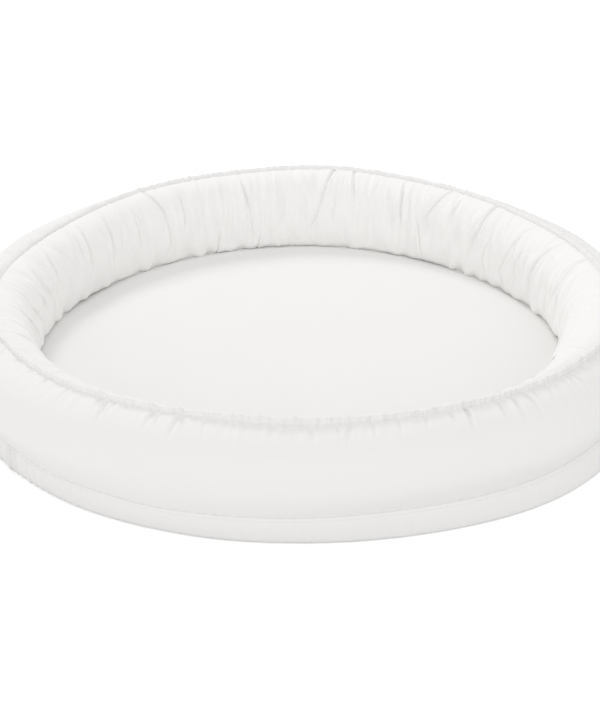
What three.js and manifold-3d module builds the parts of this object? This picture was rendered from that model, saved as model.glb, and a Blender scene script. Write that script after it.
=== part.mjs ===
// Infant lounger: an oval nest, with a padded ring bolster on a thin boxed base cushion.
// Millimetres, +Z up, +Y to the back. The origin is on the floor, under the middle of the lounger.
import * as THREE from "three";
import { mergeVertices } from "three/addons/utils/BufferGeometryUtils.js";
import Module from "manifold-3d";

const wasm = await Module();
wasm.setup();

// Overall sizes
const loungerLength = 800;
const loungerWidth = 705;
const wallOverhang = 3; // how far the bolster's outer wall bulges past the band
const frontTurn = THREE.MathUtils.degToRad(65); // each end arc's turn from the long axis to the front arc
const rearTurn = THREE.MathUtils.degToRad(30); // and to the rear arc, which is the rounder of the two

// Cloth, and the clearance between pieces that touch
const cloth = 1.2;
const seat = 0.4;

// Base cushion: inset is measured inwards from the band's outermost line
const bandHeight = 30;
const bandFootInset = 5;
const bandSeamInset = 7;
const bandFootLift = 0.4;
const seamTuck = 0.9; // how far inside the band's seam the sleeping surface is sewn
const creaseHeight = 26; // the sleeping surface where the bolster's inner wall meets it
const sleepingCrown = 5;
const coreEdgeInset = 6.3;
const coreEdgeRound = 5;

// Bolster
const wallBulgeHeight = 63;
const casingInset = 44; // middle of the top casing
const wallTopHeight = 116; // where both walls are gathered into the casing
const creaseInset = 83;
const innerBulgeReach = 4; // how far the inner wall bulges past the crease at its foot
const innerBulgeHeight = 74;
const foldDepth = 5; // how far the puffs between the folds stand out of the inner wall
const linerThickness = 0.8;

// Top casing and its elastic
const casingWidth = 4.2;
const casingHeight = 8.6;
const casingCloth = 1;
const casingSink = 2; // how far the casing's foot is sewn in below the walls' top edges
const casingTopChamfer = 0.7;
const elasticThickness = 1.1;
const elasticHeight = 6;

// Zip in the rear band
const zipHalfTurn = THREE.MathUtils.degToRad(30); // from the middle of the rear arc to each end of the zip
const zipOpening = 10; // between the folded edges of the two strips
const zipEndMargin = 6;
const toothPitch = 6;
const toothReach = 0.9;
const toothRowWidth = 2.6; // from the middle of the zip to a row's outer edge
const toothThickness = 2.4;
const tapeThickness = 0.6;
const tapeWidth = 6.5;
const stopLength = 2.5;

// Zip slider and pull tab
const sliderLength = 12;
const sliderNoseHalf = 4.3; // half its height at the nose
const sliderTailHalf = 3.7;
const sliderPlate = 1;
const flangeHeight = 0.7;
const flangeLength = 7;
const wedgeLength = 4;
const wedgeHalf = 1.1;
const bailLength = 8;
const bailWidth = 1.8;
const bailThickness = 0.75;
const eyeLength = 5.2;
const pullThickness = 0.9;
const pullWidth = 5.2;
const pullLength = 22;
const pullHoleRadius = 1.2;

// How finely each piece is faceted
const endArcSteps = 15;
const rearArcSteps = 24;
const frontArcSteps = 13;
const wallSteps = 3; // along each half of a bolster wall
const bandSteps = 4;
const stripSteps = 3;
const zipSteps = 24;
const teethStepsPerPitch = 2;
const pullHoleSteps = 4; // for each quarter of the hole
const halvings = 40; // of a search along the band's curve

// Shares that give the curves their fullness
const roundHandleShare = 0.55; // handle of a curve that turns a quarter circle
const footHandleShare = 0.8; // how soon a wall's foot turns upright
const footRiseShare = 0.15;
const bandHandleShare = 0.12;
const bandBulgeShare = 1 / 6;
const coreRingShares = [0.25, 0.6]; // rings of the core and sleeping surface, crease to middle
const slitShare = 0.95; // how far across its underside the liner is closed
const fuseShare = 0.25; // how far the slider's joined parts run into its plates

// Folds of the inner wall: [place, lean], as shares of the way round the lounger. A fold's place is
// where it leaves the casing, counted from the right end towards the back, and its lean is how much
// further on its foot lies.
const foldShares = [
  [0.028, 0.007], [0.053, 0.01], [0.081, 0.009], [0.114, 0.009], [0.137, 0.01], [0.17, -0.01],
  [0.219, -0.003], [0.235, 0.011], [0.264, 0], [0.297, -0.007], [0.309, 0.008], [0.341, 0.003],
  [0.379, 0.002], [0.399, 0.007], [0.422, 0.003], [0.459, 0.009], [0.49, 0.006], [0.53, -0.004],
  [0.57, 0.005], [0.608, -0.006], [0.648, 0.003], [0.688, 0.006], [0.728, -0.004], [0.768, 0.005],
  [0.808, -0.003], [0.848, 0.005], [0.888, -0.005], [0.928, 0.004], [0.97, -0.004],
];
const puffShares = [0.2, 0.55, 0.85, 1, 0.95, 0.7, 0]; // height of the puffs from the casing to the crease
const shoulderShare = 0.3; // where a puff's shoulders lie, of the way from one fold to the next

// Sizes that follow
const halfLength = loungerLength / 2 - wallOverhang;
const outlineWidth = loungerWidth - 2 * wallOverhang;
const quarterTurn = Math.PI / 2;
const frontRise = Math.tan((quarterTurn - frontTurn) / 2); // how far an arc reaches past the end arcs,
const rearRise = Math.tan((quarterTurn - rearTurn) / 2); // as a share of endCentre
const bothRises = frontRise + rearRise;
const endRadius = (outlineWidth - halfLength * bothRises) / (2 - bothRises);
const endCentre = halfLength - endRadius;
const endShift = ((frontRise - rearRise) * endCentre) / 2;
const rearRadius = endRadius + endCentre / Math.cos(rearTurn);
const frontRadius = endRadius + endCentre / Math.cos(frontTurn);
const zipHeight = bandHeight / 2;

// The base outline is an oval of four arcs that run into each other without a corner.
const rightArc = {
  x: endCentre,
  y: endShift,
  radius: endRadius,
  from: -frontTurn,
  to: rearTurn,
  steps: endArcSteps,
};
const rearArc = {
  x: 0,
  y: endShift - endCentre * Math.tan(rearTurn),
  radius: rearRadius,
  from: rearTurn,
  to: Math.PI - rearTurn,
  steps: rearArcSteps,
};
const leftArc = {
  x: -endCentre,
  y: endShift,
  radius: endRadius,
  from: rearArc.to,
  to: Math.PI + frontTurn,
  steps: endArcSteps,
};
const frontArc = {
  x: 0,
  y: endShift + endCentre * Math.tan(frontTurn),
  radius: frontRadius,
  from: leftArc.to,
  to: 2 * Math.PI - frontTurn,
  steps: frontArcSteps,
};
const outline = [rightArc, rearArc, leftArc, frontArc];
const zipArc = { from: quarterTurn - zipHalfTurn, to: quarterTurn + zipHalfTurn };

// A station is a place on the outline: the arc's centre and radius, and the turn about it.
function stationAt(arc, turn) {
  return { x: arc.x, y: arc.y, radius: arc.radius, turn };
}

function arcStations(arc, from, to, steps, withLast) {
  const stations = [];
  for (let i = 0; i < steps + (withLast ? 1 : 0); i++) {
    stations.push(stationAt(arc, from + ((to - from) * i) / steps));
  }
  return stations;
}

function runOfArcs(arcs, withLast) {
  return arcs.flatMap((arc, i) => {
    return arcStations(arc, arc.from, arc.to, arc.steps, withLast && i === arcs.length - 1);
  });
}

const ring = runOfArcs(outline, false);

// The station at a share of the way round, from the right end towards the back.
function stationAtShare(share) {
  const lengths = outline.map((arc) => (arc.to - arc.from) * arc.radius);
  const total = lengths.reduce((sum, length) => sum + length, 0);
  let run = ((share - Math.floor(share)) * total + frontTurn * endRadius) % total;
  let i = 0;
  while (run > lengths[i]) {
    run -= lengths[i];
    i += 1;
  }
  return stationAt(outline[i], outline[i].from + run / outline[i].radius);
}

function place(station, inset, height) {
  const reach = station.radius - inset;
  return new THREE.Vector3(
    station.x + reach * Math.cos(station.turn),
    station.y + reach * Math.sin(station.turn),
    height,
  );
}

// Cross-sections hold the inset as x and the height as y. Walking along a wall, its inside is on the right.
const at = (inset, height) => new THREE.Vector2(inset, height);

function rightOf(points, i) {
  const before = points[Math.max(i - 1, 0)];
  const after = points[Math.min(i + 1, points.length - 1)];
  const along = after.clone().sub(before).normalize();
  return at(along.y, -along.x);
}

function offsetPath(points, distance) {
  return points.map((point, i) => point.clone().addScaledVector(rightOf(points, i), distance));
}

function clothSection(points, thickness) {
  return [...points, ...offsetPath(points, thickness).reverse()];
}

// Moves every side of a clockwise closed section inwards by the same distance.
function insetLoop(points, distance) {
  return points.map((point, i) => {
    const before = points[(i + points.length - 1) % points.length];
    const after = points[(i + 1) % points.length];
    const into = point.clone().sub(before).normalize();
    const out = after.clone().sub(point).normalize();
    const normal = at(into.y + out.y, -into.x - out.x).normalize();
    const slant = normal.dot(at(into.y, -into.x));
    return point.clone().addScaledVector(normal, distance / slant);
  });
}

// Every second point of a section, and its last
function thinned(points) {
  return points.filter((_, i) => i % 2 === 0 || i === points.length - 1);
}

// Turns a list of points and faces into a geometry whose faces point outwards.
function solidGeometry(points, faces) {
  const volume = faces.reduce((sum, [a, b, c]) => {
    return sum + points[a].dot(new THREE.Vector3().crossVectors(points[b], points[c]));
  }, 0);
  const turned = volume < 0 ? faces.map(([a, b, c]) => [a, c, b]) : faces;
  const geometry = new THREE.BufferGeometry();
  geometry.setAttribute("position", new THREE.Float32BufferAttribute(points.flatMap((p) => p.toArray()), 3));
  geometry.setIndex(turned.flat());
  geometry.computeVertexNormals();
  return geometry;
}

// Joins columns of points, each a closed section, into a ring or into a run with flat ends.
function sweep(columns, endSection) {
  const count = columns[0].length;
  const points = columns.flat();
  const faces = [];
  const spans = endSection ? columns.length - 1 : columns.length;
  for (let i = 0; i < spans; i++) {
    const here = i * count;
    const next = ((i + 1) % columns.length) * count;
    for (let j = 0; j < count; j++) {
      const k = (j + 1) % count;
      faces.push([here + j, next + j, next + k], [here + j, next + k, here + k]);
    }
  }
  if (endSection) {
    const last = (columns.length - 1) * count;
    const clockwise = THREE.ShapeUtils.isClockWise(endSection);
    for (const corners of THREE.ShapeUtils.triangulateShape(endSection, [])) {
      const turned = THREE.ShapeUtils.isClockWise(corners.map((corner) => endSection[corner])) !== clockwise;
      const [a, b, c] = turned ? corners.reverse() : corners;
      faces.push([a, b, c], [last + a, last + c, last + b]);
    }
  }
  return solidGeometry(points, faces);
}

function column(station, section) {
  return section.map((point) => place(station, point.x, point.y));
}

function ringOf(section) {
  return sweep(ring.map((station) => column(station, section)), null);
}

function runOf(stations, section) {
  return sweep(stations.map((station) => column(station, section)), section);
}

// A disc from rings listed from the underside's middle, out to the edge and back to the top's middle.
function discOf(rings, bottomMiddle, topMiddle) {
  const points = rings.flatMap((point) => ring.map((station) => place(station, point.x, point.y)));
  const count = ring.length;
  const faces = [];
  for (let i = 0; i < rings.length - 1; i++) {
    for (let j = 0; j < count; j++) {
      const k = (j + 1) % count;
      const here = i * count;
      const next = here + count;
      faces.push([here + j, here + k, next + k], [here + j, next + k, next + j]);
    }
  }
  const bottom = points.length;
  points.push(new THREE.Vector3(0, endShift, bottomMiddle), new THREE.Vector3(0, endShift, topMiddle));
  const lastRing = (rings.length - 1) * count;
  for (let j = 0; j < count; j++) {
    const k = (j + 1) % count;
    faces.push([bottom, k, j], [bottom + 1, lastRing + j, lastRing + k]);
  }
  return solidGeometry(points, faces);
}

// Curves of the cross-section
function curvePoints(from, fromHandle, toHandle, to, steps) {
  return new THREE.CubicBezierCurve(from, fromHandle, toHandle, to).getPoints(steps);
}

const bandFoot = at(bandFootInset, bandFootLift);
const bandSeam = at(bandSeamInset, bandHeight);
const bandHandleInset = -(bandFootInset + bandSeamInset) * bandBulgeShare; // its bulge is at inset 0
const bandCurve = new THREE.CubicBezierCurve(
  bandFoot,
  at(bandHandleInset, bandFootLift + bandHeight * bandHandleShare),
  at(bandHandleInset, bandHeight - bandHeight * bandHandleShare),
  bandSeam,
);

// The share along the band's curve at which it reaches a height.
function bandShareAt(height) {
  let low = 0;
  let high = 1;
  for (let i = 0; i < halvings; i++) {
    const middle = (low + high) / 2;
    if (bandCurve.getPoint(middle).y < height) low = middle;
    else high = middle;
  }
  return (low + high) / 2;
}

function bandPath(fromHeight, toHeight, steps) {
  const from = bandShareAt(fromHeight);
  const to = bandShareAt(toHeight);
  return Array.from({ length: steps + 1 }, (_, i) => bandCurve.getPoint(from + ((to - from) * i) / steps));
}

// From a wall's foot up to its bulge, leaning over the foot.
function footToBulge(foot, bulge) {
  const reach = bulge.clone().sub(foot);
  const leave = at(foot.x + reach.x * footHandleShare, foot.y + reach.y * footRiseShare);
  const arrive = at(bulge.x, bulge.y - reach.y * roundHandleShare);
  return curvePoints(foot, leave, arrive, bulge, wallSteps);
}

// From a wall's bulge over to the casing, a quarter turn.
function bulgeToTop(bulge, top) {
  const reach = top.clone().sub(bulge);
  const leave = at(bulge.x, bulge.y + reach.y * roundHandleShare);
  const arrive = at(top.x - reach.x * roundHandleShare, top.y);
  return curvePoints(bulge, leave, arrive, top, wallSteps);
}

const surfaceTop = bandHeight + cloth / 2; // the sleeping surface's upper face at the band's seam
const casingHalf = casingWidth / 2;
const outerFoot = at(bandSeamInset, surfaceTop + seat / 2);
const outerBulge = at(-wallOverhang, wallBulgeHeight);
const outerTop = at(casingInset - casingHalf - 2 * seat, wallTopHeight);
const innerTop = at(casingInset + casingHalf + 2 * seat, wallTopHeight);
const innerBulge = at(creaseInset + innerBulgeReach, innerBulgeHeight);
const innerFoot = at(creaseInset, creaseHeight + seat);
const footToTop = (foot, bulge, top) => [...footToBulge(foot, bulge), ...bulgeToTop(bulge, top).slice(1)];
const outerWall = footToTop(outerFoot, outerBulge, outerTop);
const innerWall = footToTop(innerFoot, innerBulge, innerTop).reverse();

// What the two walls and the sleeping surface enclose, under the casing's foot
const casingFoot = wallTopHeight - casingSink;
const underCasing = casingFoot - seat;
const tube = [
  ...outerWall.slice(0, -1),
  at(outerTop.x - cloth, underCasing),
  at(innerTop.x + cloth, underCasing),
  ...innerWall.slice(1, -1),
  innerFoot,
];

const skin = (colour) => new THREE.MeshStandardMaterial({ color: colour, roughness: 0.9, metalness: 0 });
const coverCloth = skin(0xf3f1f0);
const surfaceCloth = skin(0xf1efee);
const linerCloth = skin(0xe9ecec);
const fibre = skin(0xfafafa);
const foam = skin(0xf2ecd6);
const elasticWeave = skin(0xe8e8e6);
const tapeWeave = skin(0xeceae8);
const plastic = new THREE.MeshStandardMaterial({ color: 0xefefed, roughness: 0.4, metalness: 0 });
const paintedMetal = new THREE.MeshStandardMaterial({ color: 0xe9e9e7, roughness: 0.35, metalness: 0.3 });

const lounger = new THREE.Group();

function addPiece(parent, name, geometry, material) {
  const mesh = new THREE.Mesh(geometry, material);
  mesh.name = name;
  parent.add(mesh);
  return mesh;
}

function toManifold(geometry) {
  const bare = geometry.clone();
  bare.deleteAttribute("normal");
  bare.deleteAttribute("uv");
  const merged = mergeVertices(bare);
  const mesh = new wasm.Mesh({
    numProp: 3,
    vertProperties: new Float32Array(merged.attributes.position.array),
    triVerts: new Uint32Array(merged.index.array),
  });
  return new wasm.Manifold(mesh);
}

function toGeometry(solid) {
  const mesh = solid.getMesh();
  const geometry = new THREE.BufferGeometry();
  geometry.setAttribute("position", new THREE.Float32BufferAttribute(mesh.vertProperties, 3));
  geometry.setIndex(Array.from(mesh.triVerts));
  geometry.computeVertexNormals();
  return geometry;
}

// Base cushion
function basePanel() {
  const edge = bandFootInset + seat + cloth / 2;
  return discOf([at(edge, 0), at(edge, cloth)], 0, cloth);
}

// The boxing band runs from the zip's left end round the front to its right end.
function boxingBand() {
  const path = bandCurve.getPoints(bandSteps);
  const restShare = (rearArc.to - zipArc.to) / (rearArc.to - rearArc.from);
  const restSteps = Math.round(rearArcSteps * restShare);
  const stations = [
    ...arcStations(rearArc, zipArc.to, rearArc.to, restSteps, false),
    ...runOfArcs([leftArc, frontArc, rightArc], false),
    ...arcStations(rearArc, rearArc.from, zipArc.from, restSteps, true),
  ];
  return runOf(stations, clothSection(path, cloth));
}

function crownAt(inset) {
  const share = (inset - creaseInset) / (endRadius - creaseInset);
  return creaseHeight + sleepingCrown * (1 - (1 - share) ** 2);
}

function crownRings(drop) {
  const reach = endRadius - creaseInset;
  const insets = coreRingShares.map((share) => creaseInset + reach * share);
  return insets.map((inset) => at(inset, crownAt(inset) - drop));
}

function sleepingSurface() {
  const edge = bandSeamInset + seamTuck;
  const top = [at(edge, surfaceTop), at(creaseInset, creaseHeight), ...crownRings(0)];
  const under = [at(edge, surfaceTop - cloth), at(creaseInset, creaseHeight - cloth), ...crownRings(cloth)];
  const middle = creaseHeight + sleepingCrown;
  return discOf([...under.reverse(), ...top], middle - cloth, middle);
}

function mattressCore() {
  const low = cloth + seat;
  const drop = cloth + seat;
  const high = surfaceTop - drop;
  const side = [
    at(coreEdgeInset + coreEdgeRound, low),
    at(coreEdgeInset, low + coreEdgeRound),
    at(coreEdgeInset, high - coreEdgeRound),
    at(coreEdgeInset + coreEdgeRound, high),
    at(creaseInset, creaseHeight - drop),
  ];
  return discOf([...side, ...crownRings(drop)], low, creaseHeight + sleepingCrown - drop);
}

addPiece(lounger, "base_panel", basePanel(), coverCloth);
addPiece(lounger, "boxing_band", boxingBand(), coverCloth);
addPiece(lounger, "sleeping_surface_panel", sleepingSurface(), surfaceCloth);
addPiece(lounger, "mattress_core", mattressCore(), foam);

// Bolster: the liner is a tube of cloth, open in one slit along its outer foot, where it is filled.
function bolsterLiner() {
  const outside = thinned(insetLoop(tube, cloth + seat));
  const inside = thinned(insetLoop(tube, cloth + seat + linerThickness));
  for (const side of [outside, inside]) {
    side.push(side[side.length - 1].clone().lerp(side[0], slitShare));
  }
  return ringOf([...outside, ...inside.reverse()]);
}

function bolsterFilling() {
  return ringOf(thinned(insetLoop(tube, cloth + 2 * seat + linerThickness)));
}

// The inner wall's columns follow its folds: a valley, and the two shoulders of the puff after it.
function foldColumns() {
  return foldShares.flatMap(([share, lean], i) => {
    const [nextPlace, nextLean] = foldShares[(i + 1) % foldShares.length];
    const next = nextPlace > share ? nextPlace : nextPlace + 1;
    const between = (part) => ({
      share: share + (next - share) * part,
      lean: lean + (nextLean - lean) * part,
      height: 1,
    });
    return [{ share, lean, height: 0 }, between(shoulderShare), between(1 - shoulderShare)];
  });
}

function innerWallPanel() {
  const backing = offsetPath(innerWall, cloth).reverse();
  const columns = foldColumns().map(({ share, lean, height }) => {
    const puffed = innerWall.map((point, i) => {
      const puff = foldDepth * height * puffShares[i];
      const moved = point.clone().addScaledVector(rightOf(innerWall, i), -puff);
      return place(stationAtShare(share + (lean * i) / (innerWall.length - 1)), moved.x, moved.y);
    });
    return [...puffed, ...backing.map((point) => place(stationAtShare(share + lean / 2), point.x, point.y))];
  });
  return sweep(columns, null);
}

addPiece(lounger, "outer_wall_panel", ringOf(clothSection(outerWall, cloth)), coverCloth);
addPiece(lounger, "inner_wall_panel", innerWallPanel(), coverCloth);
addPiece(lounger, "bolster_liner", bolsterLiner(), linerCloth);
addPiece(lounger, "bolster_filling", bolsterFilling(), fibre);

// Top casing: an upturned channel of cloth over the elastic
function topCasing() {
  const top = casingFoot + casingHeight;
  const channelHalf = casingHalf - casingCloth;
  return ringOf([
    at(casingInset - casingHalf, casingFoot),
    at(casingInset - casingHalf + casingTopChamfer, top),
    at(casingInset + casingHalf - casingTopChamfer, top),
    at(casingInset + casingHalf, casingFoot),
    at(casingInset + channelHalf, casingFoot),
    at(casingInset + channelHalf, top - casingCloth),
    at(casingInset - channelHalf, top - casingCloth),
    at(casingInset - channelHalf, casingFoot),
  ]);
}

function casingElastic() {
  const top = casingFoot + casingHeight - casingCloth - seat;
  const half = elasticThickness / 2;
  return ringOf([
    at(casingInset - half, top - elasticHeight),
    at(casingInset - half, top),
    at(casingInset + half, top),
    at(casingInset + half, top - elasticHeight),
  ]);
}

addPiece(lounger, "top_casing", topCasing(), coverCloth);
addPiece(lounger, "casing_elastic", casingElastic(), elasticWeave);

// Zip: runs along the rear arc are measured from the right-hand end of the strips.
const stripFrom = zipArc.from + seat / rearRadius;
const stripTo = zipArc.to - seat / rearRadius;
const stripRun = (stripTo - stripFrom) * rearRadius;
const zipStations = arcStations(rearArc, stripFrom, stripTo, zipSteps, true);
const tapeInset = cloth + seat;
const teethInset = tapeInset + tapeThickness / 2;
const turnAt = (run) => stripFrom + run / rearRadius;

function zipStrip(fromHeight, toHeight) {
  return runOf(zipStations, clothSection(bandPath(fromHeight, toHeight, stripSteps), cloth));
}

function zipTape(fromHeight, toHeight) {
  const path = offsetPath(bandPath(fromHeight, toHeight, stripSteps), tapeInset);
  return runOf(zipStations, clothSection(path, tapeThickness));
}

const upperTape = zipHeight + toothRowWidth + 2 * seat;
const lowerTape = zipHeight - toothRowWidth - 2 * seat;
addPiece(lounger, "zip_strip_upper", zipStrip(zipHeight + zipOpening / 2, bandHeight), coverCloth);
addPiece(lounger, "zip_strip_lower", zipStrip(bandFootLift, zipHeight - zipOpening / 2), coverCloth);
addPiece(lounger, "zip_tape_upper", zipTape(upperTape, upperTape + tapeWidth), tapeWeave);
addPiece(lounger, "zip_tape_lower", zipTape(lowerTape - tapeWidth, lowerTape), tapeWeave);

// Places along the zip: top stops, slider, wedge, teeth, bottom stop
const stopEnd = zipEndMargin + stopLength;
const sliderRun = stopEnd + seat + sliderLength / 2;
const wedgeNose = sliderLength / 2 - seat;
const teethFrom = sliderRun - wedgeNose + wedgeLength + seat;
const teethTo = stripRun - zipEndMargin - stopLength - seat;

// A row of teeth whose inner edge zigzags past the middle of the zip, clear of the other row's.
function toothRow(side) {
  const pitches = Math.floor((teethTo - teethFrom) / toothPitch);
  const steps = pitches * teethStepsPerPitch;
  const nearInset = teethInset - toothThickness / 2;
  const farInset = teethInset + toothThickness / 2;
  const sectionAt = (i) => {
    const zigzag = (i % 2 === 0 ? 1 : -1) * toothReach;
    const innerEdge = zipHeight + zigzag + side * seat;
    const outerEdge = zipHeight + side * toothRowWidth;
    return [
      at(nearInset, innerEdge),
      at(nearInset, outerEdge),
      at(farInset, outerEdge),
      at(farInset, innerEdge),
    ];
  };
  const columns = Array.from({ length: steps + 1 }, (_, i) => {
    const station = stationAt(rearArc, turnAt(teethFrom + ((teethTo - teethFrom) * i) / steps));
    return column(station, sectionAt(i));
  });
  return sweep(columns, sectionAt(0));
}

function zipStop(fromRun, fromHeight, toHeight) {
  const near = teethInset - toothThickness / 2;
  const far = teethInset + toothThickness / 2;
  const section = [at(near, fromHeight), at(near, toHeight), at(far, toHeight), at(far, fromHeight)];
  return runOf(arcStations(rearArc, turnAt(fromRun), turnAt(fromRun + stopLength), 1, true), section);
}

const rowTop = zipHeight + toothRowWidth;
const rowFoot = zipHeight - toothRowWidth;
addPiece(lounger, "zip_teeth_upper", toothRow(1), plastic);
addPiece(lounger, "zip_teeth_lower", toothRow(-1), plastic);
addPiece(lounger, "zip_top_stop_upper", zipStop(zipEndMargin, zipHeight + seat, rowTop), plastic);
addPiece(lounger, "zip_top_stop_lower", zipStop(zipEndMargin, rowFoot, zipHeight - seat), plastic);
addPiece(lounger, "zip_bottom_stop", zipStop(stripRun - stopEnd, rowFoot, rowTop), plastic);

// Slider and pull are built with x along the zip to its closed end, y outwards from the band, z up.
// A slab is a flat shape drawn in x and z, between two values of y.
function slab(shape, back, front) {
  const geometry = new THREE.ExtrudeGeometry(shape, {
    depth: front - back,
    bevelEnabled: false,
    curveSegments: pullHoleSteps,
  });
  return geometry.rotateX(quarterTurn).translate(0, front, 0);
}

function block(fromX, toX, fromY, toY, fromZ, toZ) {
  const box = new THREE.BoxGeometry(toX - fromX, toY - fromY, toZ - fromZ);
  return box.translate((fromX + toX) / 2, (fromY + toY) / 2, (fromZ + toZ) / 2);
}

const frontInner = -(teethInset - toothThickness / 2 - seat);
const frontOuter = frontInner + sliderPlate;
const rearInner = -(teethInset + toothThickness / 2 + seat);
const rearOuter = rearInner - sliderPlate;
const tapeNear = -tapeInset + seat;
const tapeFar = -tapeInset - tapeThickness - 2 * seat;
const fuse = sliderPlate * fuseShare;
const eyeDepth = pullThickness + 2 * seat;

// The plate is wide at the nose, where the two rows part, and narrow at the tail.
function plateShape() {
  const half = sliderLength / 2;
  const round = sliderNoseHalf / 2;
  const shape = new THREE.Shape();
  shape.moveTo(-half, -sliderTailHalf);
  shape.lineTo(0, -sliderTailHalf);
  shape.quadraticCurveTo(round, -sliderNoseHalf, half - round, -sliderNoseHalf);
  shape.quadraticCurveTo(half, -sliderNoseHalf, half, 0);
  shape.quadraticCurveTo(half, sliderNoseHalf, half - round, sliderNoseHalf);
  shape.quadraticCurveTo(round, sliderNoseHalf, 0, sliderTailHalf);
  shape.lineTo(-half, sliderTailHalf);
  shape.closePath();
  return shape;
}

function wedgeShape() {
  const nose = wedgeNose;
  const shape = new THREE.Shape();
  shape.moveTo(nose - wedgeLength, 0);
  shape.lineTo(nose - wedgeLength / 2, -wedgeHalf);
  shape.lineTo(nose, 0);
  shape.lineTo(nose - wedgeLength / 2, wedgeHalf);
  shape.closePath();
  return shape;
}

// The bail is an arch over the front plate, drawn in x and y and as wide as bailWidth along z.
function bailArch() {
  const foot = frontOuter - fuse;
  const eyeTop = frontOuter + eyeDepth;
  const archTop = eyeTop + bailThickness;
  const half = bailLength / 2;
  const eyeHalf = eyeLength / 2;
  const shape = new THREE.Shape();
  shape.moveTo(-half, foot);
  shape.lineTo(-half, eyeTop);
  shape.lineTo(-eyeHalf, archTop);
  shape.lineTo(eyeHalf, archTop);
  shape.lineTo(half, eyeTop);
  shape.lineTo(half, foot);
  shape.lineTo(eyeHalf, foot);
  shape.lineTo(eyeHalf, eyeTop);
  shape.lineTo(-eyeHalf, eyeTop);
  shape.lineTo(-eyeHalf, foot);
  shape.closePath();
  const arch = new THREE.ExtrudeGeometry(shape, { depth: bailWidth, bevelEnabled: false });
  return arch.translate(0, 0, -bailWidth / 2);
}

function sliderBody() {
  const tail = -sliderLength / 2;
  let body = toManifold(slab(plateShape(), frontInner, frontOuter));
  body = body.add(toManifold(slab(plateShape(), rearOuter, rearInner)));
  body = body.add(toManifold(slab(wedgeShape(), rearInner - fuse, frontInner + fuse)));
  body = body.add(toManifold(bailArch()));
  for (const side of [-1, 1]) {
    const edges = [side * sliderTailHalf, side * (sliderTailHalf - flangeHeight)];
    const low = Math.min(...edges);
    const high = Math.max(...edges);
    const end = tail + flangeLength;
    body = body.add(toManifold(block(tail, end, tapeNear, frontInner + fuse, low, high)));
    body = body.add(toManifold(block(tail, end, rearInner - fuse, tapeFar, low, high)));
  }
  return toGeometry(body);
}

// The pull's origin is the middle of the bar that the bail holds, and the tab reaches back along the teeth.
function pullTab() {
  const bar = pullThickness / 2;
  const half = pullWidth / 2;
  const windowHalf = bailWidth / 2 + seat;
  const windowEnd = bailLength / 2 + 2 * seat;
  const round = half / 2;
  const shape = new THREE.Shape();
  shape.moveTo(bar, -half);
  shape.lineTo(bar, half);
  shape.lineTo(round - pullLength, half);
  shape.quadraticCurveTo(-pullLength, half, -pullLength, 0);
  shape.quadraticCurveTo(-pullLength, -half, round - pullLength, -half);
  shape.closePath();
  const windowHole = new THREE.Path();
  windowHole.moveTo(-bar, -windowHalf);
  windowHole.lineTo(-windowEnd, -windowHalf);
  windowHole.lineTo(-windowEnd, windowHalf);
  windowHole.lineTo(-bar, windowHalf);
  windowHole.closePath();
  const gripHole = new THREE.Path();
  gripHole.absarc(half - pullLength, 0, pullHoleRadius, 0, 2 * Math.PI, true);
  shape.holes.push(windowHole, gripHole);
  return slab(shape, -bar, bar);
}

const sliderTurn = turnAt(sliderRun);
const slider = new THREE.Group();
slider.position.copy(place(stationAt(rearArc, sliderTurn), 0, zipHeight));
slider.rotation.z = sliderTurn - quarterTurn;
lounger.add(slider);
addPiece(slider, "zip_slider", sliderBody(), paintedMetal);
const pull = addPiece(slider, "zip_pull", pullTab(), paintedMetal);
pull.position.y = frontOuter + eyeDepth / 2;

export default lounger;
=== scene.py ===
"""Infant lounger: an oval nest with a ruched ring bolster on a thin boxed base cushion."""

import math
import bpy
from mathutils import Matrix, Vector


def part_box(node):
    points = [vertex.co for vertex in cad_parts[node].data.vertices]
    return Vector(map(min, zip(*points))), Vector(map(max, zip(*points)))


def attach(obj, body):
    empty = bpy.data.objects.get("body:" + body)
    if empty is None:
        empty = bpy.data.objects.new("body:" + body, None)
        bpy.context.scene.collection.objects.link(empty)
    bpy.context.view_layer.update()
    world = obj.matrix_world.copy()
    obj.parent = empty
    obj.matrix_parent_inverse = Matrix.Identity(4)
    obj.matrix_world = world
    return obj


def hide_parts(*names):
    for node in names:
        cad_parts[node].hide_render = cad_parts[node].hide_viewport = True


bl_info = {
    "name": "Infant lounger",
    "version": (1, 0, 0),
    "blender": (4, 5, 0),
    "location": "View3D > Sidebar > Lounger",
    "description": "Builds the dressed infant lounger round its packed frame",
    "category": "Object",
}

import bpy
import numpy as np
from mathutils import Matrix, Vector

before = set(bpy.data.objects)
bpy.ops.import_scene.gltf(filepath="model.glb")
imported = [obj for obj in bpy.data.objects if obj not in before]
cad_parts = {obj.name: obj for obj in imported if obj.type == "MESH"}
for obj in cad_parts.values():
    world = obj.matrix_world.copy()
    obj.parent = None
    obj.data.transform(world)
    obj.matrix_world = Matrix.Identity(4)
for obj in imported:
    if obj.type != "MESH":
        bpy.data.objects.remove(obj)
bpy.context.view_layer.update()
BAND_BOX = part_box("boxing_band")
WALL_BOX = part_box("outer_wall_panel")
CASING_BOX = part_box("top_casing")

MM = 0.001
NEST = "nest"


# Sizes and colours that a user would change


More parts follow.
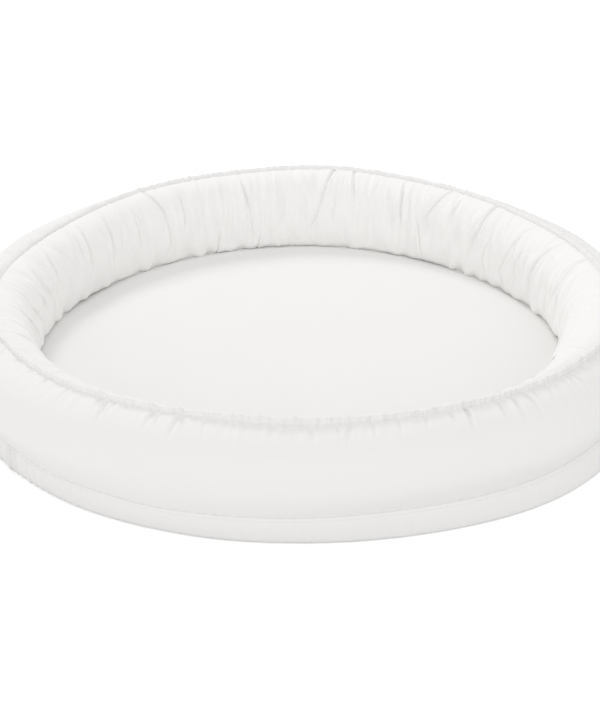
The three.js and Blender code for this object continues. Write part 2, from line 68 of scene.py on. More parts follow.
class LoungerSizes(bpy.types.PropertyGroup):
    """Sizes of the lounger"""

    length: bpy.props.FloatProperty(
        name="Length", description="Over the bolster's outer wall", default=0.8, unit="LENGTH"
    )
    width: bpy.props.FloatProperty(
        name="Width", description="Over the bolster's outer wall", default=0.705, unit="LENGTH"
    )
    front_turn: bpy.props.FloatProperty(
        name="Front turn",
        description="Turn of each end arc towards the front arc",
        default=math.radians(65),
        subtype="ANGLE",
    )
    rear_turn: bpy.props.FloatProperty(
        name="Rear turn",
        description="Turn of each end arc towards the rear arc",
        default=math.radians(30),
        subtype="ANGLE",
    )
    band_height: bpy.props.FloatProperty(
        name="Band height", description="Boxing band", default=BAND_BOX[1][2], unit="LENGTH"
    )
    wall_top: bpy.props.FloatProperty(
        name="Bolster height",
        description="Where both walls are gathered into the casing",
        default=WALL_BOX[1][2],
        unit="LENGTH",
    )
    casing_height: bpy.props.FloatProperty(
        name="Casing height",
        description="Of the gathered casing on top of the bolster",
        default=CASING_BOX[1][2] - CASING_BOX[0][2],
        unit="LENGTH",
    )
    crease_inset: bpy.props.FloatProperty(
        name="Crease inset",
        description="From the outline to the bolster's inner foot",
        default=0.083,
        unit="LENGTH",
    )
    fold_depth: bpy.props.FloatProperty(
        name="Fold depth", description="Of the inner wall's folds", default=0.0026, unit="LENGTH"
    )
    swell: bpy.props.FloatProperty(
        name="Swell",
        description="How far the filling may push the cloth out",
        default=0.007,
        unit="LENGTH",
    )


class LoungerColours(bpy.types.PropertyGroup):
    """Colours of the lounger"""

    cover: bpy.props.FloatVectorProperty(
        name="Cover", description="Woven cotton", default=(0.888, 0.880, 0.868), subtype="COLOR"
    )
    lining: bpy.props.FloatVectorProperty(
        name="Lining",
        description="Liner of the bolster",
        default=(0.80, 0.82, 0.82),
        subtype="COLOR",
    )
    filling: bpy.props.FloatVectorProperty(
        name="Filling",
        description="Fibre of the bolster",
        default=(0.90, 0.90, 0.90),
        subtype="COLOR",
    )
    foam: bpy.props.FloatVectorProperty(
        name="Foam",
        description="Core of the mattress",
        default=(0.86, 0.80, 0.60),
        subtype="COLOR",
    )
    zip_plastic: bpy.props.FloatVectorProperty(
        name="Zip", description="Teeth and stops", default=(0.82, 0.82, 0.80), subtype="COLOR"
    )
    zip_enamel: bpy.props.FloatVectorProperty(
        name="Slider",
        description="Enamelled slider and pull",
        default=(0.80, 0.80, 0.78),
        subtype="COLOR",
    )


def sizes():
    return bpy.context.scene.lounger_sizes


def colours():
    return bpy.context.scene.lounger_colours


# The oval: four arcs that run into each other. A share counts the way round from the right end.

WALL_OVERHANG = 3 * MM


class Oval:
    def __init__(self, size):
        half = size.length / 2 - WALL_OVERHANG
        across = size.width - 2 * WALL_OVERHANG
        front, rear = size.front_turn, size.rear_turn
        rises = [math.tan((math.pi / 2 - turn) / 2) for turn in (front, rear)]
        end = (across - half * sum(rises)) / (2 - sum(rises))
        out = half - end
        shift = (rises[0] - rises[1]) * out / 2
        above, below = shift - out * math.tan(rear), shift + out * math.tan(front)
        wide_rear, wide_front = end + out / math.cos(rear), end + out / math.cos(front)
        left = (math.pi - rear, math.pi + front)
        # Each arc's centre x and y, radius, and turn at its begin and end
        self.arcs = [
            (out, shift, end, -front, rear),
            (0, above, wide_rear, rear, math.pi - rear),
            (-out, shift, end, *left),
            (0, below, wide_front, math.pi + front, 2 * math.pi - front),
        ]
        self.start = front * end
        self.lengths = [(arc[4] - arc[3]) * arc[2] for arc in self.arcs]
        self.around = sum(self.lengths)
        self.middle = shift
        self.rear = self.arcs[1]

    def station(self, share):
        """Centre x and y, radius and turn of each share of the way round."""
        run = (np.asarray(share, float) % 1.0 * self.around + self.start) % self.around
        found = np.zeros((4,) + run.shape)
        begun = 0.0
        for arc, length in zip(self.arcs, self.lengths):
            here = (run >= begun) & (run <= begun + length)
            turn = arc[3] + (run - begun) / arc[2]
            for k, value in enumerate((arc[0], arc[1], arc[2], turn)):
                found[k][here] = np.broadcast_to(value, run.shape)[here]
            begun += length
        return found

    def place(self, share, inset, height):
        x, y, radius, turn = self.station(share)
        reach = radius - inset
        flat = [x + reach * np.cos(turn), y + reach * np.sin(turn)]
        return np.stack([*flat, np.broadcast_to(height, reach.shape)], -1)

    def inward(self, share):
        turn = self.station(share)[3]
        return np.stack([-np.cos(turn), -np.sin(turn), np.zeros_like(turn)], -1)

    def share_of_turn(self, turn):
        """The share at which the rear arc has a turn."""
        run = (turn - self.rear[3]) * self.rear[2] + self.lengths[0] - self.start
        return run / self.around

    def length_at(self, inset):
        return self.around - 2 * math.pi * inset


def the_oval():
    """The oval of the sizes as they are set now."""
    return Oval(sizes())


def even_shares(count):
    return np.arange(count) / count


# Sections: each is a list of Bezier pieces in (inset, height), walked with the inside on the
# right. An inset counts inwards from the oval, over which the bolster's outer wall hangs a little.

BAND_FOOT = (4.5 * MM, 0.4 * MM)
BAND_SEAM_INSET = 4 * MM
BULGE_HEIGHT = 63 * MM
INNER_BULGE = (88.5 * MM, 72 * MM)
INNER_FOOT = (80 * MM, 22 * MM)
INNER_KNEE = (87.2 * MM, 33 * MM)
CREASE_HEIGHT = 22.4 * MM
CASING_INSET = 44 * MM
CASING_SIDE = 1.0 * MM
TUCK = 0.15 * MM
TOP_SINK = 0.8 * MM
OUTER_TOP_RISE = 1.2 * MM
INNER_TOP_RISE = 2.0 * MM
ROUND_SHARE = 0.55
FOOT_SHARE = 0.25
RISE_SHARE = 0.15
BAND_SHARE = 0.12


def foot_to_bulge(foot, bulge):
    reach = (bulge[0] - foot[0], bulge[1] - foot[1])
    leave = (foot[0] + reach[0] * FOOT_SHARE, foot[1] + reach[1] * RISE_SHARE)
    arrive = (bulge[0], bulge[1] - reach[1] * ROUND_SHARE)
    return (foot, leave, arrive, bulge)


def bulge_to_top(bulge, top, rise):
    reach = (top[0] - bulge[0], top[1] - bulge[1])
    leave = (bulge[0], bulge[1] + reach[1] * ROUND_SHARE)
    arrive = (top[0] - reach[0] * ROUND_SHARE, top[1] + rise)
    return (bulge, leave, arrive, top)


def evenly(points, count, endpoint=True):
    """Points at even steps along a path, and its length."""
    steps = np.linalg.norm(np.diff(points, axis=0), axis=1)
    run = np.concatenate([[0], np.cumsum(steps)])
    at = np.linspace(0, run[-1], count, endpoint=endpoint)
    return np.stack([np.interp(at, run, points[:, k]) for k in (0, 1)], 1), run[-1]


def even_path(pieces, count):
    """Points at even steps along a run of Bezier pieces, and its length."""
    t = np.linspace(0, 1, 120)[:, None]
    runs = []
    for a, b, c, d in pieces:
        a, b, c, d = (np.array([p]) for p in (a, b, c, d))
        s = 1 - t
        runs.append(s**3 * a + 3 * s * s * t * b + 3 * s * t * t * c + t**3 * d)
    return evenly(np.concatenate(runs), count)


def pushed(path, distance):
    """A path moved to its right."""
    along = np.gradient(path, axis=0)
    along /= np.linalg.norm(along, axis=1)[:, None] + 1e-12
    return path + distance * np.stack([along[:, 1], -along[:, 0]], 1)


def smooth_step(x, low, high):
    t = np.clip((np.asarray(x, float) - low) / (high - low), 0, 1)
    return t * t * (3 - 2 * t)


def hill(away, width):
    """A smooth hill, one high, that many widths from its middle."""
    return np.exp(-((away / width) ** 2))


def apart(a, b):
    """How far share a lies on from share b, the short way round."""
    return (np.asarray(a) - b + 0.5) % 1.0 - 0.5


def read_off(table, share, column=1):
    """A table's values at each share, straight between the places it names."""
    return np.interp(np.asarray(share) % 1, table[:, 0], table[:, column], period=1)


def ring_noise(rng, count, shortest, longest, around):
    """Even noise round the ring, with wavelengths between two lengths, of unit spread."""
    waves = np.abs(np.fft.rfftfreq(count) * count) / around
    keep = (waves > 1 / longest) & (waves < 1 / shortest)
    spectrum = (rng.normal(size=waves.size) + 1j * rng.normal(size=waves.size)) * keep
    values = np.fft.irfft(spectrum, count)
    return values / (values.std() + 1e-12)


# Meshes


def clear_selection():
    if bpy.context.object and bpy.context.object.mode != "OBJECT":
        bpy.ops.object.mode_set(mode="OBJECT")
    bpy.ops.object.select_all(action="DESELECT")


def mesh_piece(name, points, faces, uv=None):
    mesh = bpy.data.meshes.new(name)
    mesh.from_pydata(np.asarray(points).reshape(-1, 3).tolist(), [], faces)
    if uv is not None:
        layer = mesh.uv_layers.new(name="cloth")
        layer.data.foreach_set("uv", np.asarray(uv, float).ravel())
    mesh.update()
    mesh.shade_smooth()
    piece = bpy.data.objects.new(name, mesh)
    bpy.context.scene.collection.objects.link(piece)
    return piece


def face_cells(columns, rows, closed_section, closed_ring):
    """The first column and the first row of every face."""
    spans = columns if closed_ring else columns - 1
    sides = rows if closed_section else rows - 1
    return np.arange(spans)[:, None], np.arange(sides)[None, :]


def ring_faces(columns, rows, closed_section=True, closed_ring=True):
    i, j = face_cells(columns, rows, closed_section, closed_ring)
    k, m = (i + 1) % columns, (j + 1) % rows
    corners = (i * rows + j, k * rows + j, k * rows + m, i * rows + m)
    return np.stack(np.broadcast_arrays(*corners), -1).reshape(-1, 4)


def cloth_uv(columns, rows, around, path_run, closed_ring=True):
    """Metres along the ring and along the section, for each corner of ring_faces."""
    i, j = face_cells(columns, rows, True, closed_ring)
    run = np.append(path_run, path_run[-1] + (path_run[-1] - path_run[-2]))
    step = around / len(i)
    corners = [(i, j), (i + 1, j), (i + 1, j + 1), (i, j + 1)]
    uv = [np.stack(np.broadcast_arrays(a * step, run[b]), -1) for a, b in corners]
    return np.stack(uv, 2).reshape(-1, 2)


def points_of(mesh):
    points = np.zeros(len(mesh.vertices) * 3)
    mesh.vertices.foreach_get("co", points)
    return points.reshape(-1, 3)


def discard(piece):
    mesh = piece.data
    bpy.data.objects.remove(piece)
    bpy.data.meshes.remove(mesh)


def closed_ring(name, grid, path_run, material):
    """A closed band of closed sections, with its faces outwards."""
    columns, rows = grid.shape[:2]
    faces = ring_faces(columns, rows)
    uv = cloth_uv(columns, rows, the_oval().around, path_run)
    return covered(mesh_piece(name, grid, faces.tolist(), uv), material)


def covered(piece, material):
    """Turns a closed piece's faces outwards and gives it its material."""
    mesh = piece.data
    mesh.calc_loop_triangles()
    corners = np.zeros(len(mesh.loop_triangles) * 3, int)
    mesh.loop_triangles.foreach_get("vertices", corners)
    a, b, c = points_of(mesh)[corners.reshape(-1, 3)].transpose(1, 0, 2)
    if np.einsum("ij,ij->", a, np.cross(b, c)) < 0:
        mesh.flip_normals()
    mesh.materials.append(material)
    return piece


def mark_fold_shade(piece, deep):
    """Tells the material how deep each point lies in a fold, for the painted shade it gets there.
    """
    mask = piece.data.attributes.new("fold", "FLOAT", "POINT")
    mask.data.foreach_set("value", deep.ravel())


def section_run(rows, length, extra):
    """The way over a section's front, and then over as much again behind it."""
    front = np.linspace(0, length, rows)
    return np.concatenate([front, length + np.arange(1, extra + 1) * length / extra])


def run_piece(name, grid, length, width, material):
    """A run of closed sections, half of each behind, with a face across each end."""
    columns, rows = grid.shape[:2]
    half = rows // 2
    faces = ring_faces(columns, rows, closed_ring=False)
    uv = cloth_uv(columns, rows, length, section_run(half, width, half), closed_ring=False)
    last = (columns - 1) * rows
    ends = []
    for j in range(half - 1):
        a, b, c, d = j, j + 1, rows - 2 - j, rows - 1 - j
        ends.append([a, b, c, d])
        ends.append([last + d, last + c, last + b, last + a])
    uv = np.concatenate([uv, np.zeros((len(ends) * 4, 2))])
    return covered(mesh_piece(name, grid, faces.tolist() + ends, uv), material)


def more_columns(grid, columns):
    """The same ring of columns, drawn finer round the oval."""
    waves = np.fft.rfft(grid, axis=0)
    more = np.zeros((columns // 2 + 1,) + grid.shape[1:], complex)
    more[: len(waves) - 1] = waves[:-1]
    return np.fft.irfft(more, columns, axis=0) * columns / len(grid)


def calmed(grid, shortest, around, share):
    """The ring without waves shorter than a length, mixed in by each row's share."""
    waves = np.fft.rfft(grid, axis=0)
    number = np.arange(len(waves))
    waves *= (1 - smooth_step(number, around / shortest, 1.6 * around / shortest))[:, None, None]
    calm = np.fft.irfft(waves, len(grid), axis=0)
    return grid + (calm - grid) * share[None, :, None]


def at_rows(grid, ways):
    """The columns read at other ways down, on a smooth curve through the old rows."""
    last = grid.shape[1] - 1
    at = np.clip(np.asarray(ways) * last, 0, last)
    k = np.minimum(at.astype(int), last - 1)
    t = (at - k)[None, :, None]
    before, after = 2 * grid[:, :1] - grid[:, 1:2], 2 * grid[:, -1:] - grid[:, -2:-1]
    rows = np.concatenate([before, grid, after], 1)
    a, b, c, d = (rows[:, k + step] for step in range(4))
    square, cube = 2 * a - 5 * b + 4 * c - d, 3 * b - a - 3 * c + d
    return (2 * b + (c - a) * t + square * t**2 + cube * t**3) / 2


def close_rows(count):
    """Ways down from 0 to 1 that lie closer together near both seams."""
    t = np.linspace(0, 1, count)
    return t - 0.09 * np.sin(2 * math.pi * t)


def grid_normals(grid):
    """Unit normals of a ring of columns, on the side of the section's left."""
    around = np.roll(grid, -1, 0) - np.roll(grid, 1, 0)
    down = np.gradient(grid, axis=1)
    normals = np.cross(down, around)
    return normals / (np.linalg.norm(normals, axis=2, keepdims=True) + 1e-12)


def swell_cloth(grid, rest, cap):
    """Lets a sewn strip of cloth, held along both edges, buckle over its filling."""
    columns, rows = grid.shape[:2]
    faces = ring_faces(columns, rows, closed_section=False)
    strip = mesh_piece("strip", grid, faces.tolist())
    seams = strip.vertex_groups.new(name="seams")
    edge = [i * rows for i in range(columns)] + [i * rows + rows - 1 for i in range(columns)]
    seams.add(edge, 1.0, "ADD")
    strip.shape_key_add(name="sewn")
    cut = strip.shape_key_add(name="cut")
    cut.data.foreach_set("co", rest.ravel())
    cloth = strip.modifiers.new("cloth", "CLOTH")
    settings = cloth.settings
    settings.quality = 5
    settings.mass = 0.15
    settings.tension_stiffness = settings.compression_stiffness = 20
    settings.shear_stiffness = 5
    settings.bending_stiffness = 0.3
    settings.vertex_group_mass = "seams"
    settings.rest_shape_key = cut
    settings.use_pressure = True
    settings.uniform_pressure_force = PRESSURE
    settings.use_pressure_volume = True
    settings.target_volume = 0
    settings.effector_weights.gravity = 0
    cloth.collision_settings.use_collision = False
    cloth.point_cache.frame_start, cloth.point_cache.frame_end = 1, SIM_FRAMES
    scene = bpy.context.scene
    for step in range(1, SIM_FRAMES + 1):
        scene.frame_set(step)
    points = points_of(strip.evaluated_get(bpy.context.evaluated_depsgraph_get()).data)
    scene.frame_set(1)
    discard(strip)
    move = points.reshape(grid.shape) - grid
    far = np.linalg.norm(move, axis=2, keepdims=True)
    return grid + move * np.minimum(1, cap / (far + 1e-9))


# Shape of the bolster

# How the bolster's top has settled: share, spread, then inwards and up in mm
SETTLED = [
    (0.25, 0.085, -4.5, 8.5),
    (0.36, 0.05, -2.5, 2.0),
    (0.455, 0.05, 1.0, -2.5),
    (0.12, 0.055, 3.5, 0.0),
    (0.285, 0.04, 0.0, -2.0),
    (0.135, 0.035, 0.0, 3.0),
    (0.755, 0.03, -2.0, -1.0),
    (0.92, 0.035, -4.5, 0.0),
]
# How the base cushion has been pushed out of true in the photo, in mm at each share: its foot
# outwards, its top seam inwards, its top seam up
BASE_LEAN = np.array(
    [
        (0.04, 0.0, 0.0, 0.0),
        (0.45, 0.0, 0.0, 0.0),
        (0.60, -3.4, 4.7, 2.5),
        (0.627, -4.2, 3.1, 2.0),
        (0.645, -3.1, 1.3, 1.0),
        (0.667, -1.4, 1.0, 1.0),
        (0.69, -1.0, -1.0, 0.0),
        (0.72, -0.4, 0.5, 0.2),
        (0.754, -1.6, 2.1, 0.7),
        (0.795, -1.2, 5.0, 1.5),
        (0.8215, 0.3, 4.6, 1.5),
        (0.84, 1.8, 3.9, 1.5),
        (0.861, 3.0, 4.6, 2.0),
        (0.873, 4.0, 4.2, 2.2),
        (0.90, 4.9, 5.3, 3.0),
        (0.95, 3.0, 3.5, 2.0),
    ]
)
# How the casing's elastic has drawn it in: share, share of its full height, of its gathers' depth,
# which also scales the painted shade in its gathers
CASING_DRAWN = np.array(
    [
        (0.05, 0.6, 0.5),
        (0.13, 0.55, 0.05),
        (0.4, 0.55, 0.05),
        (0.47, 0.6, 0.2),
        (0.6, 0.7, 0.35),
        (0.7, 0.8, 0.5),
        (0.735, 1.0, 0.7),
        (0.765, 1.0, 0.8),
        (0.79, 0.75, 1.0),
        (0.87, 0.78, 1.0),
        (0.91, 0.95, 1.0),
        (0.99, 0.8, 0.8),
    ]
)
# How far the casing leans: share, degrees towards the middle, or outwards below 0
CASING_LEAN = np.array(
    [(0.02, -34), (0.08, -46), (0.3, -50), (0.38, -54), (0.42, -66), (0.48, -60), (0.54, -20)]
    + [(0.6, 3), (0.93, 3)]
)
# Where the casing has folded over into a small cap: share, width and outwards in mm, share taller
CASING_TUCKS = [
    (0.6615, 7.0, 3.0, 0.55),
    (0.6875, 5.5, 2.6, 0.5),
    (0.7005, 5.0, 2.2, 0.4),
    (0.806, 5.0, 1.2, 0.15),
    (0.8465, 5.0, 1.4, 0.2),
]
# Where the outer wall's crown stands fuller beside the casing: share, spread, height in mm
FULLER = [(0.46, 0.055, 9.0), (0.06, 0.06, 5.0)]
# Where the outer wall stands fuller above the band
FOOT_FULLER = [(0.61, 0.05, 4.5), (0.865, 0.04, 1.5)]
# Where those two lie on the outer wall: below the casing and above the band, and how wide
OUTER_CROWN_BELOW, OUTER_CROWN_WIDTH = 20 * MM, 15 * MM
OUTER_FOOT_ABOVE, OUTER_FOOT_WIDTH = 38 * MM, 14 * MM
# Where the inner wall's belly hangs further over the sleeping surface, and where its crown lies
# flatter behind the casing
INNER_FULLER = [(0.945, 0.035, 11.0)]
INNER_CROWN = [(0.72, 0.16, -2.0), (0.87, 0.055, -6.0)]
# Where those two lie down the inner wall, from 0 at the casing to 1 at the crease, and how wide
BELLY_DOWN, BELLY_WIDTH = 0.6, 0.32
INNER_CROWN_DOWN, INNER_CROWN_WIDTH = 0.13, 0.11
# Where the band is puckered, at the front left, and how widely
PUCKERED, PUCKERED_SPREAD = 0.595, 0.04


# How finely the pieces are drawn, in columns round the oval and rows over a section
DISC_COLUMNS, DISC_STEPS = 720, 24
BAND_COLUMNS, BAND_ROWS = 1500, 22
INSIDE_COLUMNS, INSIDE_ROWS = 360, 44
OUTER_COLUMNS, OUTER_ROWS = 800, 28
INNER_COLUMNS, INNER_ROWS = 700, 30
FINE_COLUMNS, FINE_ROWS = 2400, 56
CASING_COLUMNS = 3200
STRIP_COLUMNS, STRIP_ROWS = 420, 10
TAPE_COLUMNS, TAPE_ROWS = 200, 8

# The walls' cloth simulation, how far a wall's backing lies behind it, and its deepest fold
SIM_FRAMES = 22
PRESSURE = 3.0
BACKING_ROWS = 6
BACKING_DEPTH = 7 * MM
DEEPEST = 3.2 * MM

CLOTH = 1.2 * MM
PANEL_FAR = 200 * MM
REAR_OPENING = (math.radians(60), math.radians(120))
PLEAT = 7.0 * MM

# Folds of the inner wall that the photo shows: depth and width in mm, then (way down, share)
# points. The way down goes from 0 at the casing to 1 at the crease.
INNER_FOLDS = [
    (1.8, 1.6, (0.0, 0.029), (0.4, 0.026), (0.75, 0.034)),
    (2.2, 1.6, (0.05, 0.053), (0.58, 0.064), (0.9, 0.062)),
    (2.4, 1.8, (0.06, 0.081), (0.48, 0.088), (0.72, 0.094), (0.97, 0.087)),
    (1.5, 1.4, (0.3, 0.075), (0.6, 0.081), (0.95, 0.078)),
    (3.4, 2.0, (0.0, 0.115), (0.38, 0.117), (0.66, 0.123)),
    (1.6, 1.4, (0.35, 0.107), (0.7, 0.111), (0.95, 0.106)),
    (2.0, 1.5, (0.06, 0.138), (0.65, 0.146)),
    (2.4, 1.6, (0.0, 0.149), (0.5, 0.163)),
    (2.2, 1.5, (0.36, 0.169), (0.92, 0.161)),
    (2.6, 1.7, (0.05, 0.183), (0.64, 0.179)),
    (1.4, 1.4, (0.2, 0.176), (0.6, 0.171)),
    (2.6, 1.8, (0.0, 0.219), (0.42, 0.216)),
    (1.8, 1.5, (0.28, 0.229), (0.64, 0.232)),
    (3.0, 1.8, (0.0, 0.232), (0.76, 0.247)),
    (2.6, 1.6, (0.08, 0.297), (0.9, 0.289)),
    (2.4, 1.4, (0.8, 0.285), (0.97, 0.288)),
    (1.8, 1.4, (0.33, 0.308), (0.64, 0.309)),
    (2.6, 1.5, (0.7, 0.316), (0.99, 0.319)),
    (2.2, 1.5, (0.22, 0.341), (0.64, 0.343)),
    (2.4, 1.6, (0.0, 0.364), (0.35, 0.356), (0.69, 0.355), (0.93, 0.361)),
    (1.8, 1.5, (0.28, 0.379), (0.7, 0.38)),
    (2.2, 1.6, (0.14, 0.4), (0.8, 0.405)),
    (3.2, 1.9, (0.1, 0.421), (0.54, 0.425), (0.72, 0.424)),
    (2.0, 1.4, (0.2, 0.428), (0.6, 0.432)),
    (2.6, 1.7, (0.12, 0.458), (0.32, 0.4625), (0.46, 0.4635), (0.7, 0.469)),
    (2.0, 1.6, (0.1, 0.479), (0.29, 0.4835), (0.44, 0.482), (0.75, 0.474)),
    (1.5, 1.3, (0.24, 0.474), (0.42, 0.4745), (0.66, 0.4735)),
    (2.0, 1.6, (0.2, 0.5), (0.46, 0.495), (0.78, 0.482)),
    (1.7, 1.4, (0.15, 0.513), (0.47, 0.5125), (0.8, 0.497)),
    (2.6, 1.7, (0.1, 0.527), (0.25, 0.53), (0.4, 0.536), (0.85, 0.508)),
    (1.5, 1.3, (0.3, 0.545), (0.9, 0.524)),
    (2.0, 1.5, (0.1, 0.569), (0.31, 0.571), (0.8, 0.579)),
    (1.8, 1.5, (0.05, 0.592), (0.34, 0.598), (0.8, 0.602)),
]

# Gathers of the outer wall under the casing: depth and width in mm, length in mm, share, lean
OUTER_GATHERS = [
    (1.8, 2.2, 34, 0.700, -0.002),
    (1.6, 2.0, 36, 0.665, -0.001),
    (1.8, 2.2, 28, 0.688, -0.002),
    (1.6, 2.0, 30, 0.776, -0.003),
    (1.3, 1.8, 28, 0.785, 0.001),
    (1.8, 2.0, 36, 0.829, 0.0),
    (1.9, 2.2, 38, 0.853, 0.001),
    (1.9, 2.2, 38, 0.861, 0.002),
    (1.4, 1.8, 30, 0.845, 0.0),
    (1.8, 2.2, 36, 0.892, 0.002),
    (1.4, 1.8, 26, 0.809, 0.0),
]


def fold_shape(across, width, skew=0.0):
    """A sharp valley with a low ridge on each side and a soft puff beyond, one deep."""
    x = across / width
    side = 1 + skew * np.tanh(x)
    ridge = 0.4 * side * hill(np.abs(x) - 2, 1)
    puff = 0.2 * side * hill(np.abs(x) - 5, 3)
    return ridge + puff - np.exp(-np.abs(x) ** 1.5)


def add_folds(share, down, around, folds):
    """Height over the wall of every fold, for a column of shares and a row of ways down."""
    height = np.zeros((len(share), len(down)))
    for k, (depth, width, *points) in enumerate(folds):
        ways, places = zip(*points)
        path = np.interp(down, ways, places)
        soft = 0.35 * (ways[-1] - ways[0])
        fade = smooth_step(down, ways[0] - 0.06, ways[0] + soft) if ways[0] > 0.02 else 1.0
        fade = fade * (1 - smooth_step(down, ways[-1] - soft, ways[-1] + 0.06))
        across = apart(share[:, None], path[None, :]) * around[None, :]
        skew = 0.6 * math.sin(2.4 * k)
        height += depth * MM * fold_shape(across, width * MM, skew) * fade[None, :]
    return height


def seeded_folds(rng, count, begin, end, deepest, longest):
    """Short folds at seeded places, for where the photo shows none one by one."""
    folds = []
    for place in np.linspace(begin, end, count, endpoint=False):
        place = place + rng.uniform(-0.4, 0.4) * (end - begin) / count
        top = rng.uniform(0.0, 0.45)
        foot = min(top + rng.uniform(0.25, longest), 0.97)
        lean = rng.uniform(-0.009, 0.009)
        depth = deepest * rng.uniform(0.35, 1.0)
        folds.append((depth, rng.uniform(1.2, 2.0), (top, place), (foot, place + lean)))
    return folds


def inner_path(count):
    size = sizes()
    top = (CASING_INSET + CASING_SIDE, size.wall_top - TOP_SINK)
    foot, knee, bulge = INNER_FOOT, INNER_KNEE, INNER_BULGE
    leave, arrive = (foot[0] + 6 * MM, foot[1] + 0.3 * MM), (knee[0] - 0.2 * MM, knee[1] - 6 * MM)
    upright, swung = (knee[0] + 0.4 * MM, knee[1] + 12 * MM), (bulge[0], bulge[1] - 16 * MM)
    pieces = [(foot, leave, arrive, knee), (knee, upright, swung, bulge)]
    path, length = even_path([*pieces, bulge_to_top(bulge, top, INNER_TOP_RISE)], count)
    return path[::-1].copy(), length


def outer_path(count):
    size = sizes()
    foot = (BAND_SEAM_INSET + 0.15 * MM, size.band_height - 1.2 * MM)
    bulge = (-WALL_OVERHANG, BULGE_HEIGHT)
    top = (CASING_INSET - CASING_SIDE, size.wall_top - TOP_SINK)
    pieces = [foot_to_bulge(foot, bulge), bulge_to_top(bulge, top, OUTER_TOP_RISE)]
    return even_path(pieces, count)


def band_curve(count):
    """The band's section from its foot to its top seam, a little arched, and its length."""
    bulge, high = -(BAND_FOOT[0] + BAND_SEAM_INSET) / 6, sizes().band_height
    rise = (high - BAND_FOOT[1]) * BAND_SHARE
    handles = (bulge, BAND_FOOT[1] + rise), (bulge, high - rise)
    return even_path([(BAND_FOOT, *handles, (BAND_SEAM_INSET, high))], count)


def base_lean(share):
    """The base's lean at each share, smoothed round the oval: foot out, seam in, seam up."""
    places = even_shares(2000)
    reach = 35
    window = np.hanning(2 * reach + 1)
    window /= window.sum()
    found = []
    for column in (1, 2, 3):
        knots = read_off(BASE_LEAN, places, column)
        knots = np.concatenate([knots[-reach:], knots, knots[:reach]])
        smooth = np.convolve(knots, window, "valid")
        found.append(np.interp(np.asarray(share) % 1, places, smooth, period=1)[:, None] * MM)
    return found


def settle(share, points):
    """Moves the bolster's top and the base's edge to where they lie in the photo."""
    oval, size = the_oval(), sizes()
    height = points[..., 2]
    high = smooth_step(height, 0.06, size.wall_top)
    inward = oval.inward(share)[:, None, :]
    moved = points.copy()
    for place, spread, inwards, up in SETTLED:
        near = hill(apart(share, place), spread)[:, None] * high
        moved += inward * (near * inwards * MM)[..., None]
        moved[..., 2] += near * up * MM
    foot_out, seam_in, seam_up = base_lean(share)
    inset = np.linalg.norm((points - oval.place(share, 0, 0)[:, None, :])[..., :2], axis=2)
    way = np.clip(height / size.band_height, 0, 1)
    fade = 1 - smooth_step(height, size.band_height, BULGE_HEIGHT)
    fade = fade * (1 - smooth_step(inset, 0.012, 0.07))
    moved += inward * ((seam_in * way - foot_out * (1 - way)) * fade)[..., None]
    moved[..., 2] += seam_up * smooth_step(way, 0, 1) * fade
    return moved


def columns_of(share, path):
    """The path, as insets and heights, at each share."""
    inset, height = np.asarray(path, float).T
    return the_oval().place(np.asarray(share)[:, None], inset, height)


def with_backing(grid, share, path):
    """Closes a wall behind with a few smooth rows under its cloth."""
    back = pushed(path, BACKING_DEPTH)
    back = back[np.linspace(len(back) - 1, 0, BACKING_ROWS).astype(int)]
    near = pushed(path, 0.8 * MM)
    back[0], back[-1] = near[-1], near[0]
    return np.concatenate([grid, settle(share, columns_of(share, back))], 1)


def with_back(front, share, path, depth):
    """Closes a strip behind with its plain path, at a depth."""
    return np.concatenate([front, columns_of(share, pushed(path, depth)[::-1])], 1)


def pleats(share, even=False):
    """Height of the casing's pleats at each share: round ridges up to 1, and sharp valleys."""
    rng = np.random.default_rng(7)
    around = the_oval().length_at(CASING_INSET)
    count = int(around / PLEAT)
    edges = np.concatenate([[0], np.cumsum(rng.uniform(0.4, 1.6, count))])
    edges /= edges[-1]
    tall = rng.uniform(0.35, 1.0, count)
    where = np.asarray(share) % 1.0
    k = np.clip(np.searchsorted(edges, where, side="right") - 1, 0, count - 1)
    way = (where - edges[k]) / (edges[k + 1] - edges[k])
    ridge = np.abs(np.sin(math.pi * way)) ** 0.75
    return ridge if even else tall[k] * ridge


def seam_gathers(share, reach, deep, seed):
    """Small puckers that run out from a seam, from its pleats and some longer waves."""
    rng = np.random.default_rng(seed)
    around = the_oval().around
    wide = ring_noise(rng, len(share), 8 * MM, 22 * MM, around)
    beat = 0.6 + 0.4 * ring_noise(rng, len(share), 60 * MM, 300 * MM, around).clip(-1.4, 1.4)
    near = np.exp(-((reach / (4.5 * MM)) ** 1.5))
    far = np.exp(-((reach / (13 * MM)) ** 1.5))
    small = (pleats(share) - 0.5)[:, None] * near[None, :]
    return deep * beat[:, None] * (1.6 * small + 0.6 * wide[:, None] * far[None, :])


def seam_roll(reach):
    """How far a wall's cloth dips into the seam, at each distance from it."""
    return -TUCK * hill(reach, 1.6 * MM)


def both_seams(share, from_top, length, deeps, seeds):
    """The puckers and the dips beside a wall's top seam and its foot seam."""
    reaches = (from_top, length - from_top)
    gathers = [seam_gathers(share, *given) for given in zip(reaches, deeps, seeds)]
    return sum(gathers) + sum(seam_roll(reach) for reach in reaches)[None, :]


def add_hills(lift, share, profile, table):
    """Raises a wall by each of a table's hills, which have one profile down the wall."""
    for place, spread, height in table:
        lift += hill(apart(share, place), spread)[:, None] * profile[None, :] * height * MM


